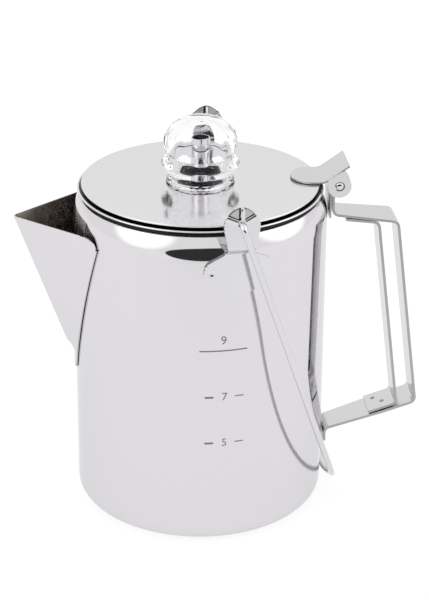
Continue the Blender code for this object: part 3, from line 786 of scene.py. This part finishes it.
def wrap_on_wall(mesh, x, z):
    """Wrap a flat mesh, drawn in its own XY plane, on the front of the wall."""
    for vertex in mesh.vertices:
        a = (x * MM + vertex.co.x) / (POT_RADIUS * MM)
        r = POT_RADIUS * MM + vertex.co.z
        height = z * MM + vertex.co.y
        vertex.co = (r * math.sin(a), -r * math.cos(a), height)


def numeral(text, x, z, size):
    """A numeral in the built-in font, wrapped on the wall."""
    curve = bpy.data.curves.new("numeral", "FONT")
    curve.body = text
    curve.size = size * MM
    curve.align_x = "CENTER"
    curve.align_y = "CENTER"
    curve.extrude = MARK_DEPTH / 2.0 * MM
    curve.resolution_u = 4
    made = link(bpy.data.objects.new("numeral", curve))
    bpy.context.view_layer.update()
    mesh = bpy.data.meshes.new_from_object(made.evaluated_get(bpy.context.evaluated_depsgraph_get()))
    bpy.data.objects.remove(made, do_unlink=True)
    wrap_on_wall(mesh, x, z)
    return mesh


def dash(x, z, length, width):
    """A short stamped line along the wall."""
    made = bmesh.new()
    bmesh.ops.create_cube(made, size=1.0)
    for vertex in made.verts:
        vertex.co = (vertex.co.x * length * MM, vertex.co.y * width * MM, vertex.co.z * MARK_DEPTH * MM)
    long_edges = [e for e in made.edges if abs(e.verts[0].co.x - e.verts[1].co.x) > length * MM / 2]
    cuts = int(length / DASH_CUT)
    bmesh.ops.subdivide_edges(made, edges=long_edges, cuts=cuts, use_grid_fill=True)
    mesh = mesh_from("dash", made)
    wrap_on_wall(mesh, x, z)
    return mesh


def make_marks():
    """Generic level marks: 9 over a line, and 7 and 5 between short dashes."""
    meshes = [numeral("9", *NINE_PLACE, NINE_SIZE), dash(*NINE_LINE, *NINE_LINE_SIZE)]
    for text, z in LEVELS:
        meshes.append(numeral(text, LEVEL_X, z, LEVEL_SIZE))
        meshes += [dash(x, z, DASH_LENGTH, width) for x, width in DASHES]
    joined = bmesh.new()
    for mesh in meshes:
        joined.from_mesh(mesh)
    bmesh.ops.remove_doubles(joined, verts=joined.verts, dist=0.000001)
    made = mesh_from("level_marks", joined)
    made.materials.append(STAMPED)
    fit(link(bpy.data.objects.new("level_marks", made)), "pot", "polished_steel")


# --- handle ---
HANDLE_TOP = (104.3, 157.0)     # x and z of the outer strap's upper corner, mid sheet
HANDLE_FOOT = (118.3, 49.8)
HANDLE_SLOPE = 0.125            # the upper arm rises this much for each millimetre inward
FLANGE_TOP = high("handle_outer_strap").z
FLANGE_FOOT = (33.9, low("handle_outer_strap").z)
WALL_HALF = 8.5                 # the outer strap widens from this to GRIP_HALF
TAPER = (72.0, 100.0)
INNER_TOP_X = 94.2
INNER_FOOT_X = 108.0
INNER_ENDS = (76.6, 92.8)
BEND = 3.6
FOOT_STANDOFF = 0.6             # the foot's flange stands this much further out than a strap on the wall
LEAF_CLEARANCE = 0.2            # extra room that keeps the upper flange clear of the bracket
HANDLE_WELDS = ((4.5, 3.6), (8.6, -2.6))    # along the inner strap from its lower end, and across it
HANDLE_WELD_RADIUS = 1.25


def outer_half_width(x):
    """Half the outer strap's width: narrow where it is welded on, full in the hand."""
    return float(np.interp(x, TAPER, (WALL_HALF, GRIP_HALF)))


def make_handle():
    """Two nested straps: the outer one on the wall, the inner one welded inside its foot arm."""
    wall = POT_RADIUS + GAP + STRAP / 2.0
    flange = wall + LEAF + GAP + LEAF_CLEARANCE
    foot_x = wall + FOOT_STANDOFF
    slope = HANDLE_SLOPE
    foot_slope = (HANDLE_FOOT[1] - FLANGE_FOOT[0]) / (HANDLE_FOOT[0] - foot_x)
    outer = [(flange, FLANGE_TOP), (flange, HANDLE_TOP[1] + slope * (HANDLE_TOP[0] - flange)),
             HANDLE_TOP, HANDLE_FOOT, (foot_x, FLANGE_FOOT[0]), (foot_x, FLANGE_FOOT[1])]
    step = STRAP + GAP
    top = HANDLE_TOP[1] + slope * (HANDLE_TOP[0] - INNER_TOP_X) - step * math.hypot(1.0, slope)
    foot = HANDLE_FOOT[1] - foot_slope * (HANDLE_FOOT[0] - INNER_FOOT_X)
    foot += step * math.hypot(1.0, foot_slope)
    start = (INNER_ENDS[0], top + slope * (INNER_TOP_X - INNER_ENDS[0]))
    end = (INNER_ENDS[1], foot - foot_slope * (INNER_FOOT_X - INNER_ENDS[1]))
    inner = [start, (INNER_TOP_X, top), (INNER_FOOT_X, foot), end]
    made = strap("handle_outer_strap", bent(outer, BEND), outer_half_width, STRAP, [SATIN, CUT_EDGE])
    fit(made, "pot", "satin_steel", "handle_outer_strap")
    made = strap("handle_inner_strap", bent(inner, BEND), INNER_HALF, STRAP, [SATIN, CUT_EDGE])
    fit(made, "pot", "satin_steel", "handle_inner_strap")
    up = Vector((-foot_slope, 0.0, 1.0)).normalized()
    lift = up * (STRAP / 2.0 + 0.02)
    spots = []
    for along, across in HANDLE_WELDS:
        place = Vector((end[0] + along, across, end[1] + foot_slope * along))
        spots.append((place + lift, up))
    fit(weld_spots("handle_welds", spots, HANDLE_WELD_RADIUS), "pot", "satin_steel")


# --- hinge ---
PIN_RADIUS = 2.35
PIN_HOLE = 2.65
BRACKET_CLEARANCE = 0.4         # between the wall and the bracket
BRACKET_BEND = (171.0, 175.0)   # heights between which it leans out to the pin
CURL_CLEARANCE = 0.35           # between the pin and the bracket's curl
CURL_END = -105.0               # the curl ends here, seen from -Y
RAMP_START = (64.2, 180.8)
RAMP_END = (77.0, 189.6)
EAR_RADIUS = 6.2
TONGUE_X = 59.0                 # middle of the tongue's rounded end
TONGUE_WELDS = ((52.5, -3.4), (52.5, 3.4), (58.0, -4.6), (58.0, 4.6))
TONGUE_DIMPLE = (1.5, 0.35)     # radius and height


def make_hinge():
    """Bracket whose upper end curls round the pin, and the pin with its domed ends."""
    plate_x = POT_RADIUS + BRACKET_CLEARANCE + LEAF / 2.0
    curl = PIN_RADIUS + CURL_CLEARANCE + LEAF / 2.0
    path = [(plate_x, BRACKET_LOW), (plate_x, BRACKET_BEND[0]), (HINGE.x - curl, BRACKET_BEND[1])]
    path += arc((HINGE.x, HINGE.z), curl, 180.0, CURL_END, 30)
    half_width = high("hinge_bracket").y
    bracket = strap("hinge_bracket", path, half_width, LEAF, [SATIN, CUT_EDGE], columns=8)
    fit(bracket, "pot", "satin_steel", "hinge_bracket")
    half = high("hinge_pin").y
    profile = [(0.0, half), (1.2, half - 0.08), (1.9, half - 0.35), (PIN_RADIUS, half - 0.9),
               (PIN_RADIUS, 0.9 - half), (1.9, 0.35 - half), (1.2, 0.08 - half), (0.0, -half)]
    pin = turned("hinge_pin", profile, [MIRROR], 40, angle=50.0)
    pin.data.transform(Matrix.Rotation(math.radians(90.0), 4, "X"))
    pin.data.transform(Matrix.Translation(Vector((HINGE.x, 0.0, HINGE.z)) * MM))
    fit(pin, "pot", "polished_steel", "hinge_pin")


def make_hinge_leaf():
    """Round tongue on the lid, a ramp for the thumb, and an ear folded down on each side."""
    base = LID_TOP + GAP + LEAF / 2.0
    tip = TONGUE_X - LEAF_HALF * math.cos(math.radians(8.0))
    path = [(tip + (TONGUE_X - tip) * (i / 24) ** 2, base) for i in range(24)]
    path += bent([(TONGUE_X + 1.0, base), RAMP_START, RAMP_END], 5.0)

    def half_width(x):
        if x >= TONGUE_X:
            return LEAF_HALF
        return math.sqrt(max(1.0, LEAF_HALF ** 2 - (TONGUE_X - x) ** 2))

    radius, height = TONGUE_DIMPLE
    welds = []
    for x, y in TONGUE_WELDS:
        welds.append((lambda p, c=(x, y, base): dent(p, c, radius), height))
    leaf = strap("lid_hinge_leaf", path, half_width, LEAF, [SATIN, CUT_EDGE], bumps=welds,
                 columns=44, step=0.5)
    settle(leaf)
    outline = [(65.9, 182.3), (74.8, 187.3), (76.6, 184.6)]
    outline += arc((HINGE.x, HINGE.z), EAR_RADIUS, 12.0, -165.0, 24)
    for side in (-1, 1):
        combine(leaf, outline_plate(outline, LEAF, side * (LEAF_HALF - LEAF / 2.0)), "UNION")
    combine(leaf, rods([((HINGE.x, 0.0, HINGE.z), (0.0, 1.0, 0.0))], PIN_HOLE, 30.0, 40))
    fit(leaf, "lid", "satin_steel", "lid_hinge_leaf")


# --- bail ---
EAR_LOW = low("bail_ear_front").z
EAR_HIGH = high("bail_ear_front").z
EAR_SKIN = POT_RADIUS + GAP + EAR_SHEET / 2.0
EYE_RADIUS = 2.3
RIBS = ((90.0, 7.4), (156.0, 7.6), (31.0, 7.8))     # turn and reach of each rib from the eye
RIB_START = 1.5
RIB_WIDTH = 1.4
RIB_HEIGHT = 0.5
SHADED_FACETS = (31.0, 156.0)          # turns between which the plate's upper facets lie, which are painted darker as shade
EAR_WELDS = ((-2.0, 156.6), (14.4, 149.6), (25.0, 158.0))
EAR_DIMPLE = (2.1, 0.22)        # radius and height


def ear_half(z):
    """Half the width of an ear at height z: broad foot, narrow neck, oval plate."""
    stations = [(144.6, 1.5), (144.9, 5.0), (146.2, 9.6), (149.5, 14.2), (153.0, 17.3), (156.4, 18.1),
                (159.5, 17.5), (161.6, 16.2), (163.4, 13.3), (164.9, 10.2), (166.4, 7.3), (167.6, 6.7),
                (169.2, 6.6), (171.2, 6.7), (173.2, 7.0), (178.4, 8.0), (182.3, 8.85), (186.0, 9.05),
                (188.0, 8.6), (190.0, 7.3), (192.0, 5.4), (193.5, 3.3), (194.3, 1.2)]
    return float(np.interp(z, [s[0] for s in stations], [s[1] for s in stations]))


def ear_rows(side):
    """The ear's mid sheet: its foot follows the wall and its plate stands upright."""
    rows = []
    for z in np.linspace(EAR_LOW, EAR_HIGH, 100):
        lean = float(np.interp(z, (166.4, 169.8, 173.2), (0.0, 0.5, 1.0)))
        lean = lean * lean * (3.0 - 2.0 * lean)
        row = []
        for x in np.linspace(EAR_X - ear_half(z), EAR_X + ear_half(z), 45):
            on_wall = math.sqrt(EAR_SKIN ** 2 - x * x)
            row.append((x, side * (on_wall + lean * (EAR_PLANE - on_wall)), z))
        rows.append(row)
    return rows


def make_ear(name, side):
    """Ear with three ribs pressed outwards round the eye and three spot welds on its foot."""
    y = side * EAR_PLANE
    eye = (EAR_X, y, BAIL_AXIS.z)
    bumps = []
    for turn, reach in RIBS:
        a = math.radians(turn)
        start = (eye[0] + RIB_START * math.cos(a), y, eye[2] + RIB_START * math.sin(a))
        end = (eye[0] + reach * math.cos(a), y, eye[2] + reach * math.sin(a))
        bumps.append((lambda p, s=start, e=end: rib(p, s, e, RIB_WIDTH), -RIB_HEIGHT * side))
    radius, height = EAR_DIMPLE
    for x, z in EAR_WELDS:
        centre = (x, side * math.sqrt(EAR_SKIN ** 2 - x * x), z)
        bumps.append((lambda p, c=centre: dent(p, c, radius), height * side))
    finishes = [PRESSED, CUT_EDGE, SHADED_FACET, PAINTED_SHADE]
    ear = sheet(name, ear_rows(side), EAR_SHEET, finishes, bumps=bumps, rim=1)
    # a strip beside the upright rib is painted near-black, and the upper facets darker, as painted shade
    for face in ear.data.polygons:
        across = face.center.x / MM - eye[0]
        up = face.center.z / MM - eye[2]
        if up <= RIB_START:
            continue
        if -1.7 < across < -0.5:
            face.material_index = finishes.index(PAINTED_SHADE)
        elif SHADED_FACETS[0] < math.degrees(math.atan2(up, across)) < SHADED_FACETS[1] and abs(across) >= 1.0:
            face.material_index = finishes.index(SHADED_FACET)
    settle(ear)
    combine(ear, rods([(eye, (0.0, 1.0, 0.0))], EYE_RADIUS, 8.0, 32))
    ear.data.transform(Matrix.Rotation(EAR_TWIST, 4, "Z"))
    fit(ear, "pot", "satin_steel", name)


BAIL_DROP = 71.1                # angle of the hanging legs below level
BAIL_LEAD = 13.0                # the legs are straight this far past the eyes
BAIL_SHOULDER = 86.0            # distance from the eyes at which the legs are closest
BAIL_CROWN = (101.0, 74.5)      # half axes of the rounded crown, along and across the legs
BAIL_BOW = 3.7                  # the crown's middle bows towards the pot
BAIL_BOW_HALF = 30.0
WIRE_BEND = 3.0
WIRE_END_Y = 71.6               # the bent ends reach in to this distance from the pot's mid plane
WIRE_Y = 79.3                   # and the legs start at this one


def make_bail():
    """Legs from the eyes that draw together a little, then a rounded crown."""
    drop = math.radians(BAIL_DROP)
    along = Vector((math.cos(drop), 0.0, -math.sin(drop)))
    inward = Vector((-math.sin(drop), 0.0, -math.cos(drop)))
    length, half = BAIL_CROWN

    def place(distance, y):
        bow = 0.0
        if distance > BAIL_SHOULDER and abs(y) < BAIL_BOW_HALF:
            bow = BAIL_BOW * (1.0 + math.cos(math.pi * y / BAIL_BOW_HALF)) / 2.0
        eye = Vector((EAR_X, 0.0, BAIL_AXIS.z))
        return eye + along * distance + inward * bow + Vector((0.0, y, 0.0))

    path = bent([place(0.0, -WIRE_END_Y), place(0.0, -WIRE_Y), place(BAIL_LEAD, -WIRE_Y)],
                WIRE_BEND, 10)
    for i in range(1, 19):
        share = i / 18
        y = half + (WIRE_Y - half) * (1.0 - share) ** 2
        path.append(place(BAIL_LEAD + (BAIL_SHOULDER - BAIL_LEAD) * share, -y))
    for i in range(1, 41):
        a = math.radians(90.0 * i / 40)
        path.append(place(BAIL_SHOULDER + length * math.sin(a), -half * math.cos(a)))
    path += [Vector((p.x, -p.y, p.z)) for p in reversed(path[:-1])]
    wire = round_wire("bail_wire", path, WIRE, MIRROR)
    wire.data.transform(Matrix.Rotation(EAR_TWIST, 4, "Z"))
    fit(wire, "bail", "polished_steel", "bail_wire")


# --- lid ---
LID_EDGE = 62.4
EDGE_ROUND = 0.35
BEAD = 0.42
LID_HOLE = 14.8
NOTCH = (6.5, 33.6, 6.0)        # the slot across the hole, which lets the knob's lugs through
SKIRT_SHEET = 0.7
SKIRT_FLANGE = 55.0             # inner radius of the skirt's flat top


def make_lid():
    """Flat plate with a groove and a bead round its rim, a slotted hole, and the skirt below."""
    edge = LID_EDGE
    bead = (BEAD_RADIUS - BEAD, low("lid_plate").z + BEAD)
    hole = LID_HOLE
    under = LID_TOP - SHEET
    profile = [(hole, LID_TOP - 0.1), (hole + 0.15, LID_TOP), (20.0, LID_TOP), (40.0, LID_TOP)]
    profile += arc((edge - EDGE_ROUND, LID_TOP - EDGE_ROUND), EDGE_ROUND, 90.0, 0.0, 6)
    profile += [(edge, LID_TOP - 0.9), (edge - 0.15, LID_TOP - 1.15)]
    groove_start = len(profile) - 1
    profile += [(edge - 1.5, LID_TOP - 1.5), (edge - 1.7, LID_TOP - 1.9), (edge - 1.2, bead[1] + 0.45)]
    groove_end = len(profile) - 1
    profile += [(bead[0] - 0.6, bead[1] + BEAD)]
    profile += arc(bead, BEAD, 90.0, -90.0, 10)
    profile += [(edge - 2.2, low("lid_plate").z), (edge - 2.6, under - 0.2), (edge - 3.4, under),
                (20.0, under), (hole + 0.1, under), (hole, under + 0.1)]

    # the groove's side and the bead's flat top are painted near-black as shade
    def paint(band):
        return 1 if groove_start <= band <= groove_end else 0

    lid = turned("lid_plate", profile, [LID_STEEL, PAINTED_SHADE], 224, closed=True, paint=paint)
    combine(lid, blocks([(0.0, 0.0, LID_TOP)], NOTCH))
    fit(lid, "lid", "brushed_steel", "lid_plate")
    top = high("lid_skirt").z
    thin = SKIRT_SHEET
    profile = [(SKIRT_FLANGE, top), (SKIRT_RADIUS - 0.8, top), (SKIRT_RADIUS - 0.2, top - 0.2),
               (SKIRT_RADIUS, top - 0.8), (SKIRT_RADIUS, SKIRT_BOTTOM + 0.2),
               (SKIRT_RADIUS - thin / 2, SKIRT_BOTTOM), (SKIRT_RADIUS - thin, SKIRT_BOTTOM + 0.2),
               (SKIRT_RADIUS - thin, top - thin), (SKIRT_FLANGE, top - thin)]
    ring("lid_skirt", profile, SATIN, 160, "lid", "polished_steel")


# --- knob ---
FLUTES = 12
FLUTE_DEPTH = 0.03              # share of the radius
FLUTE_DROP = 8.5                # the flutes are deepest this far below the top
FLUTE_REACH = 8.0
KNOB_NECK = 14.2
KNOB_BORE = 12.9
LUG_X = 15.1
LUG_Z = 177.8
LUG_SIZE = (3.0, 6.0, 1.6)
WASHER_HOLE = 14.5
WASHER_BEADS = 34
WASHER_BEAD_DEPTH = 0.45


def flute(turn, r, z):
    """Shallow flutes round the dome's shoulder, which fade out above and below."""
    depth = FLUTE_DEPTH * float(ease((z - (KNOB_TOP - FLUTE_DROP)) / FLUTE_REACH))
    return r * (1.0 - depth * (0.5 - 0.5 * math.cos(FLUTES * turn))), z


def make_knob():
    """Clear dome on a flange and skirt; its neck and two lugs go through the lid's hole."""
    skirt_bottom = high("knob_washer").z + GAP
    neck = KNOB_NECK
    bore = KNOB_BORE
    t = KNOB_TOP
    curve = [(0.0, t), (4.0, t - 0.1), (8.0, t - 0.6), (12.0, t - 2.2), (15.3, t - 4.4), (17.6, t - 7.0),
             (19.0, t - 9.8), (19.4, t - 12.2), (19.1, t - 14.8), (18.2, t - 17.3), (16.9, t - 19.5)]
    flange = [(16.9, t - 20.7), (18.4, t - 22.3), (20.0, t - 23.4), (20.4, t - 24.3), (20.1, t - 25.4),
              (18.4, t - 27.2), (17.2, t - 28.7), (16.9, t - 30.2)]
    outside = smooth_profile(curve, 4) + smooth_profile(flange, 3)
    outside += [(16.8, skirt_bottom + 0.2), (16.6, skirt_bottom), (neck + 0.2, skirt_bottom),
                (neck, skirt_bottom - 0.2), (neck, KNOB_LOW + 0.2), (neck - 0.2, KNOB_LOW),
                (bore + 0.2, KNOB_LOW), (bore, KNOB_LOW + 0.2), (bore, 186.0)]
    hollow = smooth_profile([(bore, 190.0), (13.4, 194.0), (14.6, 198.0), (15.2, 203.0), (13.6, 207.0),
                             (9.5, 210.0), (5.0, 211.6), (0.0, 212.0)], 3)
    knob = turned("knob", outside + hollow, [CLEAR], 192, shape=flute, angle=60.0)
    lugs = blocks([(side * LUG_X, 0.0, LUG_Z) for side in (-1, 1)], LUG_SIZE)
    combine(knob, lugs, "UNION", 60.0)
    fit(knob, "knob", "clear_knob", "knob")
    fit(make_washer(), "knob", "clear_knob", "knob_washer")


def smooth_profile(points, parts):
    """Catmull-Rom curve through profile points."""
    padded = [points[0]] + list(points) + [points[-1]]
    made = []
    for p0, p1, p2, p3 in zip(padded, padded[1:], padded[2:], padded[3:]):
        for i in range(parts):
            s = i / parts
            made.append(tuple(0.5 * (2 * b + (c - a) * s + (2 * a - 5 * b + 4 * c - d) * s * s
                                     + (3 * b - a - 3 * c + d) * s ** 3)
                              for a, b, c, d in zip(p0, p1, p2, p3)))
    return made + [points[-1]]


def make_washer():
    """Clear ring with a beaded rim under the knob's skirt."""
    bottom = low("knob_washer").z
    top = high("knob_washer").z
    outer = high("knob_washer").x
    inner = WASHER_HOLE

    def bead(turn, r, z):
        if r < outer - 1.2:
            return r, z
        return r - WASHER_BEAD_DEPTH * (0.5 - 0.5 * math.cos(WASHER_BEADS * turn)), z

    middle = (top + bottom) / 2.0
    profile = [(inner, top), (outer - 1.3, top), (outer - 0.35, top - 0.2), (outer, middle),
               (outer - 0.35, bottom + 0.2), (outer - 1.3, bottom), (inner, bottom)]
    steps = WASHER_BEADS * 8
    return turned("knob_washer", profile, [CLEAR], steps, closed=True, shape=bead, angle=60.0)


# --- percolating works ---
TUBE_WALL = 0.6
BELL_NECK_TOP = 26.0
BELL_SLOTS = 4
SLOT_PLACE = (27.0, 5.0)        # radius and height of the slots that let water in
SLOT_RADIUS = 1.6
SLIDE_PLAY = 0.45               # between the tube and the sleeves that slide on it
HOLE_RADIUS = 0.9               # holes in the basket's floor and the spreader


def make_stem():
    """Tube, the base bell that it stands on, and the collar that the basket rests on."""
    inner = TUBE_RADIUS - TUBE_WALL
    profile = [(inner, TUBE_TOP), (TUBE_RADIUS - 0.1, TUBE_TOP), (TUBE_RADIUS, TUBE_TOP - 0.1),
               (TUBE_RADIUS, TUBE_BOTTOM), (inner, TUBE_BOTTOM)]
    ring("pump_tube", profile, MIRROR, 64, "stem", "polished_steel")
    neck = TUBE_RADIUS + GAP
    t = WORKS_SHEET
    rim = BELL_RADIUS
    top = BELL_NECK_TOP
    outside = [(neck + t, top), (neck + t, 16.0), (9.0, 11.6), (24.0, 6.4), (28.6, 3.2), (29.4, 2.2),
               (rim, 2.0), (rim, 2.0 - t), (28.6, 2.0 - t)]
    inside = [(27.8, 2.6), (23.6, 5.7), (8.6, 10.9), (neck, 15.4), (neck, top)]
    bell = turned("pump_base", outside + inside, [MIRROR], 96, closed=True)
    slots = []
    radius, height = SLOT_PLACE
    for i in range(BELL_SLOTS):
        a = math.tau * (i + 0.5) / BELL_SLOTS
        place = (radius * math.cos(a), radius * math.sin(a), height)
        slots.append((place, (math.cos(a), math.sin(a), 1.4)))
    combine(bell, rods(slots, SLOT_RADIUS, 8.0))
    fit(bell, "stem", "polished_steel", "pump_base")
    outer = STOP_HIGH.x
    profile = [(neck, STOP_HIGH.z), (outer - 0.4, STOP_HIGH.z), (outer, STOP_HIGH.z - 0.4),
               (outer, STOP_LOW.z + 0.4), (outer - 0.4, STOP_LOW.z), (neck, STOP_LOW.z)]
    ring("basket_stop_collar", profile, MIRROR, 64, "stem", "polished_steel")


def ring_places(z, first, last, spacing):
    """Upright rods on concentric rings, about `spacing` apart."""
    places = []
    rings = int((last - first) / spacing) + 1
    for ring in range(rings):
        radius = first + spacing * ring
        count = int(math.tau * radius / spacing)
        for i in range(count):
            a = math.tau * (i + 0.5 * (ring % 2)) / count
            places.append(((radius * math.cos(a), radius * math.sin(a), z), (0.0, 0.0, 1.0)))
    return places


def make_basket():
    """Perforated cup with a rolled rim, and the sleeve in its middle that slides on the tube."""
    t = WORKS_SHEET
    sleeve = TUBE_RADIUS + SLIDE_PLAY
    hole = sleeve + t + GAP
    wall = RIM_OUT - 1.6
    floor = BASKET_LOW
    corner = (wall - 3.6, floor + 3.6)
    profile = [(hole, floor + t), (wall - 4.0, floor + t)] + arc(corner, 2.9, -90.0, 0.0, 8)
    profile += [(wall - t, BASKET_TOP - 0.3), (wall - t + 0.3, BASKET_TOP), (RIM_OUT - 0.2, BASKET_TOP),
                (RIM_OUT, BASKET_TOP - 0.3), (RIM_OUT - 0.2, BASKET_TOP - t), (wall, BASKET_TOP - t)]
    profile += arc(corner, 3.6, 0.0, -90.0, 8) + [(hole, floor)]
    basket = turned("basket_shell", profile, [SATIN], 128, closed=True)
    combine(basket, rods(ring_places(floor, 12.0, 34.0, 4.4), HOLE_RADIUS, 6.0, 10))
    fit(basket, "basket", "satin_steel", "basket_shell")
    top = high("basket_sleeve").z
    flange = low("basket_sleeve").z
    outer = high("basket_sleeve").x
    profile = [(sleeve, top), (sleeve + t, top), (sleeve + t, flange + t), (outer, flange + t),
               (outer, flange), (sleeve, flange)]
    ring("basket_sleeve", profile, SATIN, 64, "basket", "satin_steel")


def make_spreader():
    """Perforated disc that lies on the basket, with a collar round the tube."""
    t = WORKS_SHEET
    bore = TUBE_RADIUS + SLIDE_PLAY
    face = SPREADER_TOP - 4.6
    edge = SPREADER_OUT
    profile = [(bore, SPREADER_TOP), (bore + t, SPREADER_TOP), (bore + t, face + 1.0),
               (bore + 1.6, face + 0.3), (12.0, face), (edge - 0.8, face), (edge - 0.2, face - 0.25),
               (edge, face - 0.9), (edge, SPREADER_LOW), (edge - t, SPREADER_LOW), (edge - t, face - t),
               (12.0, face - t), (bore, face - 0.1)]
    spreader = turned("basket_lid", profile, [SATIN], 128, closed=True)
    combine(spreader, rods(ring_places(face, 14.0, 36.0, 4.6), HOLE_RADIUS, 6.0, 10))
    fit(spreader, "spreader", "satin_steel", "basket_lid")


make_camera()
make_world()
make_floor()
make_card()

make_pot()
make_spout()
make_marks()
make_handle()
make_hinge()
make_ear("bail_ear_front", -1)
make_ear("bail_ear_back", 1)
make_bail()
make_lid()
make_hinge_leaf()
make_knob()
make_stem()
make_basket()
make_spreader()
